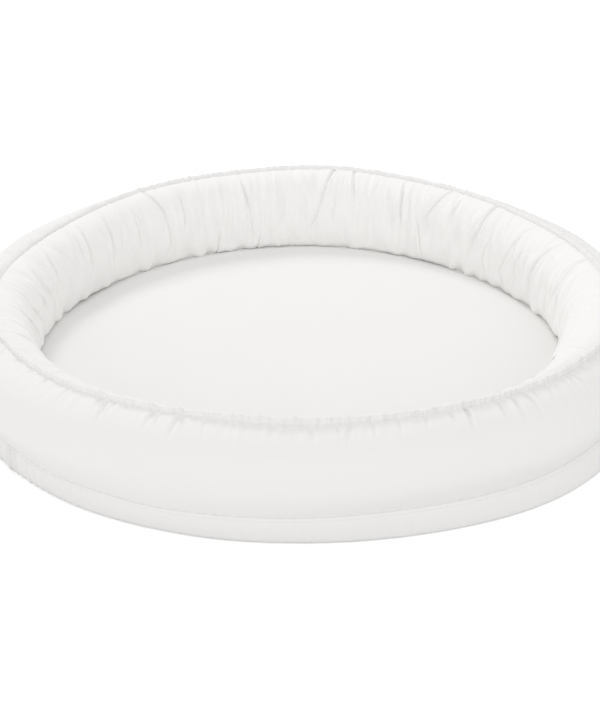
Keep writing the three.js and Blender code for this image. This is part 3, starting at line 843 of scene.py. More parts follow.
def wall_grid(path, length, columns, rest_inset, seed, slack):
    """The wall's cloth after it has swollen, drawn finer, and its ways down."""
    oval = the_oval()
    rng = np.random.default_rng(seed)
    share = even_shares(columns)
    grid = columns_of(share, path)
    normals = -grid_normals(grid)
    rows = np.linspace(0, 1, len(path))
    waves = ring_noise(rng, columns, 12 * MM, 60 * MM, oval.around)
    lift = (waves[:, None] * 0.5 * MM - slack) * np.sin(math.pi * rows)
    grid = grid + normals * lift[..., None]
    cut = columns_of(share, [(rest_inset, length * row) for row in rows])
    grid = swell_cloth(grid, cut, sizes().swell)
    ways = close_rows(FINE_ROWS)
    return at_rows(more_columns(grid, FINE_COLUMNS), ways), ways


# Materials


def join(tree, node, inputs):
    """Sets a node's inputs to numbers, or joins them to sockets."""
    for key, value in dict(inputs).items():
        if isinstance(value, bpy.types.NodeSocket):
            tree.links.new(value, node.inputs[key])
        else:
            node.inputs[key].default_value = value


def wired(tree):
    """A helper that adds a node to a tree, with its settings and its inputs."""

    def add(kind, inputs=(), **settings):
        node = tree.nodes.new("ShaderNode" + kind)
        for key, value in settings.items():
            setattr(node, key, value)
        join(tree, node, inputs)
        return node

    return add


def reckon(add, operation, *values, **settings):
    """The result of a Math node on numbers and sockets."""
    return add("Math", enumerate(values), operation=operation, **settings).outputs[0]


def mixed(add, factor, colour, other):
    inputs = {"Factor": factor, "A": colour, "B": other}
    return add("Mix", inputs, data_type="RGBA").outputs["Result"]


def shaded(add, colour, mask, low, high):
    """A colour made darker and lighter by a mask."""
    factor = add("MapRange", {"Value": mask, "To Min": low, "To Max": high})
    inputs = {0: colour, "Scale": factor.outputs[0]}
    return add("VectorMath", inputs, operation="SCALE").outputs[0]


def tinted(colour, share):
    return (*[c * share for c in colour], 1)


def plain_weave(add, given):
    """Plain weave on the cloth's own metres, with slubs, and a tint that changes over the body."""
    split = add("SeparateXYZ", {0: given["Place"]})
    waves = []
    for way in (0, 1):
        count = reckon(add, "MULTIPLY", split.outputs[way], given["Threads"])
        waves.append(reckon(add, "SINE", reckon(add, "MULTIPLY", count, math.pi)))
    drawn = add("Mapping", {"Vector": given["Place"], "Scale": (0.12, 1, 1)})
    slub = add("TexNoise", {"Vector": drawn.outputs[0], "Scale": 260, "Detail": 3})
    both = reckon(add, "ADD", reckon(add, "MULTIPLY", *waves), slub.outputs["Fac"])
    height = reckon(add, "MULTIPLY", both, 0.5)
    relief = {"Strength": given["Relief"], "Distance": 0.00012, "Height": height}
    tint = add("TexNoise", {"Vector": given["Body"], "Scale": 9, "Detail": 4})
    colour = shaded(add, given["Colour"], tint.outputs["Fac"], 0.985, 1.01)
    return {"Colour": colour, "Normal": add("Bump", relief).outputs[0]}


def stitch_row(add, given):
    """A mask of one row of stitches, at a height on the cloth."""
    split = add("SeparateXYZ", {0: given["Place"]})
    beat = reckon(add, "FRACT", reckon(add, "DIVIDE", split.outputs[0], given["Pitch"]))
    dash = reckon(add, "LESS_THAN", beat, 0.7)
    far = reckon(add, "ABSOLUTE", reckon(add, "SUBTRACT", split.outputs[1], given["Row"]))
    return {"Mask": reckon(add, "MULTIPLY", dash, reckon(add, "LESS_THAN", far, 0.00035))}


def fine_grain(add, given):
    """A fine grain on the piece's own coordinates: mottled colour and gloss, and a relief."""
    inputs = {"Vector": given["Place"], "Scale": given["Scale"], "Detail": 4}
    mask = add("TexNoise", inputs).outputs["Fac"]
    spread = add("MapRange", {"Value": mask, "To Min": -0.08, "To Max": 0.08}).outputs[0]
    relief = add("Bump", {"Strength": 0.5, "Distance": given["Depth"], "Height": mask})
    return {
        "Colour": shaded(add, given["Colour"], mask, 0.95, 1.03),
        "Roughness": reckon(add, "ADD", given["Roughness"], spread, use_clamp=True),
        "Normal": relief.outputs[0],
    }


def worn_edge(add, given):
    """A mask of the edges that fingers and cloth have rubbed."""
    edge = add("NewGeometry").outputs["Pointiness"]
    sharp = add("MapRange", {"Value": edge, "From Min": 0.52, "From Max": 0.62}).outputs[0]
    patch = add("TexNoise", {"Vector": given["Place"], "Scale": 700, "Detail": 3})
    torn = reckon(add, "MULTIPLY", sharp, patch.outputs["Fac"])
    return {"Mask": reckon(add, "MULTIPLY", torn, given["Amount"], use_clamp=True)}


# What fills each node group, its inputs and its outputs
GROUPS = {
    "plain_weave": (
        plain_weave,
        {
            "Place": "Vector",
            "Body": "Vector",
            "Threads": "Float",
            "Colour": "Color",
            "Relief": "Float",
        },
        {"Colour": "Color", "Normal": "Vector"},
    ),
    "stitch_row": (
        stitch_row,
        {"Place": "Vector", "Row": "Float", "Pitch": "Float"},
        {"Mask": "Float"},
    ),
    "fine_grain": (
        fine_grain,
        {
            "Place": "Vector",
            "Scale": "Float",
            "Depth": "Float",
            "Colour": "Color",
            "Roughness": "Float",
        },
        {"Colour": "Color", "Roughness": "Float", "Normal": "Vector"},
    ),
    "worn_edge": (worn_edge, {"Place": "Vector", "Amount": "Float"}, {"Mask": "Float"}),
}


def group_of(name):
    """Each node group is made once, with its named sockets."""
    group = bpy.data.node_groups.get(name)
    if group:
        return group
    fill, inputs, outputs = GROUPS[name]
    group = bpy.data.node_groups.new(name, "ShaderNodeTree")
    for way, sockets in (("INPUT", inputs), ("OUTPUT", outputs)):
        for label, kind in sockets.items():
            group.interface.new_socket(name=label, in_out=way, socket_type="NodeSocket" + kind)
    given = group.nodes.new("NodeGroupInput").outputs
    join(group, group.nodes.new("NodeGroupOutput"), fill(wired(group), given))
    return group


def new_material(name):
    """A material, a helper that adds nodes to it, and one that sets its shader's inputs."""
    material = bpy.data.materials.new(name)
    material.use_nodes = True
    tree = material.node_tree
    shader = tree.nodes["Principled BSDF"]
    return material, wired(tree), lambda inputs: join(tree, shader, inputs)


def cloth_material(
    name, colour, threads=2200.0, bump=0.35, roughness=0.9, sheen=0.15, folds=0.0, rows=()
):
    """Woven cloth with painted shade in its folds, by the fold attribute, and stitches at the
    given heights on it.
    """
    material, add, set_shader = new_material(name)
    where = add("TexCoord").outputs
    inputs = {"Place": where["UV"], "Body": where["Object"], "Threads": threads}
    inputs |= {"Colour": tinted(colour, 1), "Relief": bump}
    weave = add("Group", inputs, node_tree=group_of("plain_weave")).outputs
    paint, normal = weave["Colour"], weave["Normal"]
    # Painted shade: where the fold attribute marks a fold, the colour is mixed towards one darker
    # by the folds share
    if folds:
        fold = add("Attribute", attribute_name="fold").outputs["Fac"]
        paint = mixed(add, fold, paint, tinted(colour, 1 - folds))
    for row in rows:
        sewn = {"Place": where["UV"], "Row": row, "Pitch": 0.003}
        stitch = add("Group", sewn, node_tree=group_of("stitch_row")).outputs["Mask"]
        paint = mixed(add, stitch, paint, tinted(colour, 0.95))
        raised = {"Strength": 0.5, "Distance": 0.0002, "Height": stitch, "Normal": normal}
        normal = add("Bump", raised).outputs[0]
    set_shader({"Base Color": paint, "Normal": normal, "Roughness": roughness})
    set_shader({"Sheen Weight": sheen, "Sheen Roughness": 0.5, "Specular IOR Level": 0.2})
    return material


def grained_material(name, colour, scale, depth, roughness, worn=0.0, coat=0.0):
    """Foam, fibre, plastic or enamel."""
    material, add, set_shader = new_material(name)
    where = add("TexCoord").outputs["Object"]
    inputs = {"Place": where, "Scale": scale, "Depth": depth, "Colour": tinted(colour, 1)}
    inputs |= {"Roughness": roughness}
    grain = add("Group", inputs, node_tree=group_of("fine_grain")).outputs
    paint = grain["Colour"]
    if worn:
        inputs = {"Place": where, "Amount": worn}
        mask = add("Group", inputs, node_tree=group_of("worn_edge")).outputs["Mask"]
        paint = mixed(add, mask, paint, tinted(colour, 0.7))
    set_shader({"Base Color": paint, "Roughness": grain["Roughness"], "Normal": grain["Normal"]})
    set_shader({"Coat Weight": coat})
    return material


# Each finish: its maker, the colour it takes, that colour's share, and its other settings
# A folds setting is painted shade: how much darker the cloth is painted in its folds
FINISHES = {
    "cover_cotton": (cloth_material, "cover", 0.985, {}),
    "smooth_cotton": (cloth_material, "cover", 0.985, {"folds": 0.06}),
    # Painted light: the inner wall's cloth is painted lighter than the same cover cloth, for the
    # light bounced inside the nest
    "ruched_cotton": (cloth_material, "cover", 1.04, {"folds": 0.06}),
    "band_cotton": (cloth_material, "cover", 0.97, {"rows": (2.4 * MM, 28 * MM)}),
    "casing_cotton": (cloth_material, "cover", 1.0, {"folds": 0.12, "rows": (3 * MM, 19 * MM)}),
    "liner_cloth": (
        cloth_material,
        "lining",
        1.0,
        {"threads": 900.0, "bump": 0.5, "roughness": 0.95, "sheen": 0.0},
    ),
    "zip_tape_weave": (cloth_material, "cover", 0.97, {"threads": 1400.0, "bump": 0.7}),
    "elastic_weave": (cloth_material, "cover", 0.98, {"threads": 1100.0, "bump": 0.9}),
    "fibre": (
        grained_material,
        "filling",
        1.0,
        {"scale": 160, "depth": 0.0012, "roughness": 0.95},
    ),
    "foam": (grained_material, "foam", 1.0, {"scale": 700, "depth": 0.0006, "roughness": 0.9}),
    "zip_plastic": (
        grained_material,
        "zip_plastic",
        1.0,
        {"scale": 900, "depth": 0.00003, "roughness": 0.42, "worn": 0.5},
    ),
    "zip_enamel": (
        grained_material,
        "zip_enamel",
        1.0,
        {"scale": 500, "depth": 0.00003, "roughness": 0.3, "worn": 1.0, "coat": 0.6},
    ),
}


def finish_of(name):
    """Each material is made once, from the colours."""
    found = bpy.data.materials.get(name)
    if found:
        return found
    maker, colour, share, settings = FINISHES[name]
    return maker(name, [c * share for c in getattr(colours(), colour)], **settings)


def keep(piece, nodes, slot):
    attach(piece, NEST)
    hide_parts(*nodes)


def oval_cut(inset):
    """The flat size (width, length) and the flat area of an oval panel cut at an inset."""
    x, y = the_oval().place(even_shares(DISC_COLUMNS), inset, 0)[:, :2].T
    area = abs(np.dot(x, np.roll(y, -1)) - np.dot(y, np.roll(x, -1))) / 2
    return (float(np.ptp(y)), float(np.ptp(x))), float(area)


# Operators

AMBIENT = 0.75
# Each lamp's name, place, side in metres and power in watts
LAMPS = [
    ("key", (-1.0, 2.0, 2.2), 0.8, 24.0),
    ("fill_left", (-1.8, -1.8, 1.0), 1.6, 9.6),
    ("fill_right", (1.5, -1.7, 1.5), 1.6, 9.4),
]
LAMP_AIM = Vector((0, 0, 0.05))
FLOOR_SIDE = 14
FLOOR_GLOW = 0.3

# The fitted camera: metres from the nest's middle, its angles in degrees, and the lens, from the
# focal length in a picture's pixels, the picture's height and the sensor's in mm
CAMERA_DISTANCE = 1.4
CAMERA_ELEVATION, CAMERA_YAW, CAMERA_PAN, CAMERA_TILT = 31.45, 0.57, -0.075, -0.275
FOCAL_PIXELS, PICTURE_PIXELS, SENSOR = 1142.6, 705, 36


class LOUNGER_OT_stage(bpy.types.Operator):
    """Sets the floor, the soft light and the camera at the photo's angle"""

    bl_idname = "lounger.stage"
    bl_label = "Stage"

    def execute(self, context):
        self.light(context)
        self.floor()
        self.camera(context)
        context.scene.view_settings.view_transform = "Standard"
        return {"FINISHED"}

    def light(self, context):
        world = bpy.data.worlds.new("studio")
        context.scene.world = world
        world.use_nodes = True
        tree = world.node_tree
        add = wired(tree)
        seen = add("LightPath").outputs
        direct = reckon(add, "MAXIMUM", seen["Is Camera Ray"], seen["Is Glossy Ray"])
        clear = reckon(add, "MAXIMUM", direct, seen["Is Transmission Ray"])
        strength = add("MapRange", {"Value": clear, "To Min": AMBIENT, "To Max": 1.0})
        sky = {"Color": (1, 1, 1, 1), "Strength": strength.outputs[0]}
        join(tree, tree.nodes["Background"], sky)
        for name, place, side, power in LAMPS:
            lamp = bpy.data.lights.new(name, "AREA")
            lamp.shape, lamp.size, lamp.energy = "SQUARE", side, power
            holder = bpy.data.objects.new(name, lamp)
            holder.location = place
            aim = LAMP_AIM - Vector(place)
            holder.rotation_euler = aim.to_track_quat("-Z", "Y").to_euler()
            context.scene.collection.objects.link(holder)

    def floor(self):
        clear_selection()
        bpy.ops.mesh.primitive_plane_add(size=FLOOR_SIDE, location=(0, 0, 0))
        ground = bpy.context.object
        ground.name = "floor"
        material, add, set_shader = new_material("floor_white")
        glow = reckon(add, "MULTIPLY", add("LightPath").outputs["Is Camera Ray"], FLOOR_GLOW)
        set_shader({"Base Color": (0.9, 0.9, 0.9, 1), "Roughness": 0.9, "Specular IOR Level": 0})
        set_shader({"Emission Color": (1, 1, 1, 1), "Emission Strength": glow})
        ground.data.materials.append(material)

    def camera(self, context):
        elevation, yaw = math.radians(CAMERA_ELEVATION), math.radians(CAMERA_YAW)
        pan, down = math.radians(CAMERA_PAN), elevation + math.radians(CAMERA_TILT)
        lens = bpy.data.cameras.new("camera")
        lens.lens = SENSOR * FOCAL_PIXELS / PICTURE_PIXELS
        lens.clip_start, lens.clip_end = 0.05, 60
        view = bpy.data.objects.new("camera", lens)
        level, drop = math.cos(down), math.sin(down)
        ahead = Vector((math.sin(pan), math.cos(pan) * level, -math.cos(pan) * drop))
        right = Vector((math.cos(pan), -math.sin(pan) * level, math.sin(pan) * drop))
        up = right.cross(ahead)
        turn = Matrix.Rotation(yaw, 4, "Z")
        back, high = CAMERA_DISTANCE * math.cos(elevation), CAMERA_DISTANCE * math.sin(elevation)
        basis = Matrix((right, up, -ahead)).transposed().to_4x4()
        view.matrix_world = turn @ Matrix.Translation((0, -back, high)) @ basis
        context.scene.collection.objects.link(view)
        context.scene.camera = view


class LOUNGER_OT_base_cushion(bpy.types.Operator):
    """Makes the base panel, the boxing band, the foam core and the sleeping surface"""

    bl_idname = "lounger.base_cushion"
    bl_label = "Base cushion"

    def execute(self, context):
        self.base_panel()
        self.sleeping_surface()
        self.foam_core()
        self.boxing_band()
        return {"FINISHED"}

    def rounded_disc(self, name, section, middles, material, ripple=None):
        """Sweeps an edge section round the oval and closes it to the middle above and below."""
        oval = the_oval()
        share = even_shares(DISC_COLUMNS)
        edge = columns_of(share, section)
        centre = np.array([0, oval.middle, 0])

        def to_middle(ring, height):
            layers = []
            for w in np.linspace(1, 0, DISC_STEPS + 1)[1:-1]:
                layer = centre + (ring - centre) * w
                layer[:, 2] = height + (ring[:, 2] - height) * w**2
                layers.append(layer)
            return layers

        under = to_middle(edge[:, 0], middles[0])[::-1]
        over = to_middle(edge[:, -1], middles[1])
        grid = settle(share, np.stack([*under, *edge.transpose(1, 0, 2), *over], 1))
        if ripple is not None:
            ripple(grid)
        columns, rows = grid.shape[:2]
        faces = ring_faces(columns, rows, closed_section=False)
        low_pole, high_pole = columns * rows, columns * rows + 1
        poles = [[0, oval.middle, height] for height in (middles[0], grid[:, -1, 2].mean())]
        points = np.concatenate([grid.reshape(-1, 3), poles])
        fans = []
        for i in range(columns):
            k = (i + 1) % columns
            fans.append([low_pole, k * rows, i * rows])
            fans.append([high_pole, i * rows + rows - 1, k * rows + rows - 1])
        flat = points[np.concatenate([faces.ravel(), np.ravel(fans)]), :2]
        return covered(mesh_piece(name, points, faces.tolist() + fans, flat), material)

    def base_panel(self):
        inset, wide = 6.0 * MM, 60 * MM
        section = [(PANEL_FAR, 0), (wide, 0), (inset + 1.5 * MM, 0), (inset + 0.3 * MM, 0.25 * MM)]
        section += [(inset, CLOTH / 2), (inset + 0.3 * MM, CLOTH - 0.1 * MM)]
        section += [(inset + 1.5 * MM, CLOTH), (wide, CLOTH), (PANEL_FAR, CLOTH)]
        cotton = finish_of("cover_cotton")
        piece = self.rounded_disc("underside_panel", section, (0, CLOTH), cotton)
        keep(piece, ["base_panel"], "cover_cloth")
        flat, area = oval_cut(inset)

    def foam_core(self):
        inset, low, wide = 7.5 * MM, 1.8 * MM, 40 * MM
        high = sizes().band_height - 2.2 * MM
        crease = CREASE_HEIGHT - 3.0 * MM
        edge = 4 * MM
        turns = np.linspace(0, math.pi / 2, 5)
        quarter = list(zip(edge * (1 - np.sin(turns)), edge * (1 - np.cos(turns))))
        section = [(PANEL_FAR, low), (wide, low), (inset + edge, low)]
        section += [(inset + far, low + near) for far, near in quarter[1:]]
        section += [(inset + near, high - far) for far, near in quarter]
        section += [(wide, (high + crease) / 2), (83 * MM, crease), (92 * MM, crease + 1.4 * MM)]
        section += [(110 * MM, crease + 4.6 * MM), (PANEL_FAR, crease + 6.4 * MM)]
        middles = (low, crease + 6.6 * MM)
        piece = self.rounded_disc("foam_core", section, middles, finish_of("foam"))
        keep(piece, ["mattress_core"], "foam")

    def sleeping_surface(self):
        size = sizes()
        edge = BAND_SEAM_INSET + 0.9 * MM
        high = size.band_height + 0.5 * MM
        crease, middle = CREASE_HEIGHT, 31 * MM
        begin, valley = 74 * MM, size.crease_inset + 1 * MM
        # Close columns of points over the valley and its roll, wide ones further in
        near, far = np.linspace(76 * MM, 140 * MM, 46), np.linspace(146 * MM, 220 * MM, 12)
        insets = np.concatenate([[edge, 40 * MM, begin], near, far])
        deepest = 0.318

        def surface(inset):
            if inset <= valley:
                return high + (crease - high) * min(1, (inset - edge) / (begin - edge))
            t = (inset - valley) / (deepest - valley)
            roll = 1 - math.exp(-(inset - valley) / (15 * MM))
            rise = 6.4 * MM
            return crease + rise * roll + (middle - crease - rise) * (1 - (1 - t) ** 2)

        over = [(inset, surface(inset)) for inset in insets]
        under = [(inset, height - CLOTH) for inset, height in over[::-3]]
        under[-1] = (edge, high - CLOTH)

        def ripple(grid):
            rng = np.random.default_rng(11)
            x, y = grid[..., 0], grid[..., 1]
            lift = np.zeros_like(x)
            for _ in range(16):
                turn, wave = rng.uniform(0, math.pi), rng.uniform(0.09, 0.3)
                phase = rng.uniform(0, 2 * math.pi)
                way = x * math.cos(turn) + y * math.sin(turn)
                lift += np.sin(2 * math.pi * way / wave + phase)
            grid[..., 2] += lift * 0.12 * MM

        middles, cotton = (middle - CLOTH, middle), finish_of("cover_cotton")
        piece = self.rounded_disc("sleeping_surface", under + over, middles, cotton, ripple)
        keep(piece, ["sleeping_surface_panel"], "cover_cloth")
        flat, area = oval_cut(edge)

    def boxing_band(self):
        oval = the_oval()
        begin, end = oval.share_of_turn(REAR_OPENING[1]), oval.share_of_turn(REAR_OPENING[0]) + 1
        columns, rows = BAND_COLUMNS, BAND_ROWS
        share = np.linspace(begin, end, columns)
        path, length = band_curve(rows)
        grid = columns_of(share, path)
        run = oval.around * (end - begin)
        rng = np.random.default_rng(5)
        fine = ring_noise(rng, columns, 5 * MM, 12 * MM, run)
        wide = ring_noise(rng, columns, 14 * MM, 45 * MM, run)
        left = hill(apart(share, PUCKERED), PUCKERED_SPREAD)
        seam = np.abs(np.linspace(-1, 1, rows)) ** 1.2
        lift = ((0.10 + 1.8 * left) * fine - 1.6 * left)[:, None] * (0.4 + 0.6 * seam)[None, :]
        lift = lift + 0.22 * wide[:, None] * np.cos(np.linspace(-1.4, 1.4, rows))[None, :]
        lift = lift * np.sin(np.linspace(0.12, math.pi - 0.12, rows))[None, :] ** 0.4
        out = -oval.inward(share)[:, None, :]
        grid = grid + out * (lift * MM)[..., None]
        whole = settle(share, with_back(grid, share, path, 1.4 * MM))
        piece = run_piece("side_band", whole, run, length, finish_of("band_cotton"))
        keep(piece, ["boxing_band"], "cover_cloth")


class LOUNGER_OT_bolster_inside(bpy.types.Operator):
    """Makes the bolster's fibre filling and its liner"""

    bl_idname = "lounger.bolster_inside"
    bl_label = "Filling and liner"

    def loop(self, depth, count):
        """The closed section inside both walls, at a depth under their cloth."""
        outer, _ = outer_path(40)
        inner, _ = inner_path(40)
        ceiling = sizes().wall_top - 6.4 * MM
        sides = [pushed(path, depth) for path in (outer, inner)]
        corners = np.concatenate([side[side[:, 1] < ceiling] for side in sides])
        floor = np.interp(corners[:, 0], [7 * MM, 83 * MM], [31 * MM, 26.6 * MM])
        corners[:, 1] = np.maximum(corners[:, 1], floor + depth - 0.8 * MM)
        return evenly(np.concatenate([corners, corners[:1]]), count, endpoint=False)

    def ring(self, name, material, depth, bumps, seed):
        oval, columns, rows = the_oval(), INSIDE_COLUMNS, INSIDE_ROWS
        rng = np.random.default_rng(seed)
        path, length = self.loop(depth, rows)
        share = even_shares(columns)
        grid = columns_of(share, path)
        swings = range(1, 7)
        waves = [ring_noise(rng, columns, 25 * MM, 160 * MM, oval.around) for _ in swings]
        turns = [even_shares(rows) * k + rng.uniform() for k in swings]
        lift = sum(w[:, None] * np.sin(2 * math.pi * t) for w, t in zip(waves, turns)) * bumps / 3
        middle = path.mean(0)
        toward = middle[None, :] - path
        toward /= np.linalg.norm(toward, axis=1)[:, None]
        inward = oval.inward(share)[:, None, :] * toward[None, :, :1]
        inward = inward + np.array([0, 0, 1.0]) * toward[None, :, 1:]
        grid = settle(share, grid + inward * np.abs(lift)[..., None])
        runs = np.linspace(0, length, rows)
        return closed_ring(name, grid, runs, material)

    def execute(self, context):
        fibre, liner_cloth = finish_of("fibre"), finish_of("liner_cloth")
        filling = self.ring("fibre_roll", fibre, depth=12.5 * MM, bumps=1.2 * MM, seed=21)
        keep(filling, ["bolster_filling"], "fibre_filling")
        liner = self.ring("liner_tube", liner_cloth, depth=10 * MM, bumps=0.3 * MM, seed=22)
        keep(liner, ["bolster_liner"], "liner_cloth")
        return {"FINISHED"}


def sew_wall(name, node, grid, lift, path_of, material):
    """Presses the folds into a swollen wall, closes it behind, gives it its cloth and marks its
    folds for painted shade.
    """
    columns, rows = grid.shape[:2]
    share = even_shares(columns)
    lift = np.where(lift < 0, DEEPEST * np.tanh(lift / DEEPEST), lift)
    grid = grid - grid_normals(grid) * lift[..., None]
    full, length = path_of(rows)
    grid = with_backing(settle(share, grid), share, full)
    runs = section_run(rows, length, BACKING_ROWS)
    piece = closed_ring(name, grid, runs, material)
    # How deep each point of the wall's front lies in a fold: the painted shade of its cloth there
    deep = np.zeros(grid.shape[:2])
    deep[:, :rows] = np.clip(-lift / (2.5 * MM), 0, 1)
    mark_fold_shade(piece, deep)
    keep(piece, [node], "cover_cloth")


class LOUNGER_OT_outer_wall(bpy.types.Operator):
    """Makes the bolster's outer wall, smooth, with gathers under the casing"""

    bl_idname = "lounger.outer_wall"
    bl_label = "Outer wall"

    def gathers(self):
        """The gathers that the photo shows, and small seeded ones all round."""
        rng = np.random.default_rng(32)
        found, small = list(OUTER_GATHERS), 90
        for place in np.linspace(0, 1, small, endpoint=False):
            place += rng.uniform(-0.4, 0.4) / small
            depth, width, reach = rng.uniform(0.3, 1.3), rng.uniform(1.2, 2.2), rng.uniform(10, 30)
            found.append((depth, width, reach, place, rng.uniform(-0.003, 0.003)))
        return found

    def execute(self, context):
        oval = the_oval()
        path, length = outer_path(OUTER_ROWS)
        grid, ways = wall_grid(path, length, OUTER_COLUMNS, 2 * MM, seed=31, slack=3.5 * MM)
        share = even_shares(len(grid))
        from_top = (1 - ways) * length
        calm = 0.9 * smooth_step(from_top, 9 * MM, 30 * MM)
        grid = calmed(grid, 110 * MM, oval.around, calm)
        deeps = (0.7 * MM, 0.2 * MM)
        lift = both_seams(share, from_top, length, deeps, seeds=(33, 34))
        add_hills(lift, share, hill(from_top - OUTER_CROWN_BELOW, OUTER_CROWN_WIDTH), FULLER)
        foot = hill(length - from_top - OUTER_FOOT_ABOVE, OUTER_FOOT_WIDTH)
        add_hills(lift, share, foot, FOOT_FULLER)
        for depth, width, reach, place, lean in self.gathers():
            bend = place + lean * np.clip(from_top / (reach * MM), 0, 1)
            across = apart(share[:, None], bend[None, :]) * oval.length_at(30 * MM)
            fade = 1 - smooth_step(from_top, 0.25 * reach * MM, reach * MM)
            fade = fade * (0.4 + 0.6 * smooth_step(from_top, 0, 4 * MM))
            lift += depth * MM * fold_shape(across, width * MM) * fade[None, :]
        cotton = finish_of("smooth_cotton")
        sew_wall("bolster_outer_wall", "outer_wall_panel", grid, lift, outer_path, cotton)
        return {"FINISHED"}


class LOUNGER_OT_inner_wall(bpy.types.Operator):
    """Makes the bolster's ruched inner wall"""

    bl_idname = "lounger.inner_wall"
    bl_label = "Inner wall"

    def swells(self, share, down, length):
        """Scallops along the crease, and broad waves over the whole wall."""
        around = the_oval().around
        scallop = ring_noise(np.random.default_rng(45), len(share), 26 * MM, 80 * MM, around)
        low = hill((1 - down) * length, 14 * MM) * smooth_step(1 - down, 0, 0.03)
        lift = 1.3 * MM * scallop[:, None] * low[None, :]
        rng = np.random.default_rng(46)
        for k in (1, 2, 3):
            wave = ring_noise(rng, len(share), 30 * MM, 110 * MM, around)
            profile = np.sin(k * math.pi * down + k) * np.sin(math.pi * down)
            lift += 0.55 * MM * wave[:, None] * profile[None, :]
        return lift

    def execute(self, context):
        oval = the_oval()
        path, length = inner_path(INNER_ROWS)
        grid, down = wall_grid(path, length, INNER_COLUMNS, 62 * MM, seed=41, slack=5 * MM)
        share = even_shares(len(grid))
        insets = np.interp(down, np.linspace(0, 1, len(path)), path[:, 0])
        rng = np.random.default_rng(42)
        hidden = seeded_folds(rng, 20, begin=0.61, end=1.0, deepest=2.4, longest=0.8)
        small = seeded_folds(rng, 110, begin=0.0, end=1.0, deepest=0.9, longest=0.35)
        folds = INNER_FOLDS + hidden + small
        # The folds' depths are set for a fold depth of 2.6 mm
        scale = sizes().fold_depth / (2.6 * MM)
        lift = scale * add_folds(share, down, oval.length_at(insets), folds)
        deeps = (0.45 * MM, 0.35 * MM)
        lift += both_seams(share, down * length, length, deeps, seeds=(43, 44))
        lift += self.swells(share, down, length)
        add_hills(lift, share, hill(down - INNER_CROWN_DOWN, INNER_CROWN_WIDTH), INNER_CROWN)
        behind = smooth_step(0.25 - np.abs(apart(share, 0.25)), 0, 0.06)
        crevice = hill(down * length - 1.0 * MM, 1.2 * MM)
        lift -= 2.4 * MM * behind[:, None] * crevice[None, :]
        belly = hill(down - BELLY_DOWN, BELLY_WIDTH)
        for place, spread, height in INNER_FULLER:
            full = hill(apart(share, place), spread)[:, None] * belly[None, :]
            lift = lift * (1 - 0.6 * full) + full * height * MM
        # Cloth painted lighter as painted light, with painted shade in its folds
        cotton = finish_of("ruched_cotton")
        sew_wall("bolster_inner_wall", "inner_wall_panel", grid, lift, inner_path, cotton)
        return {"FINISHED"}


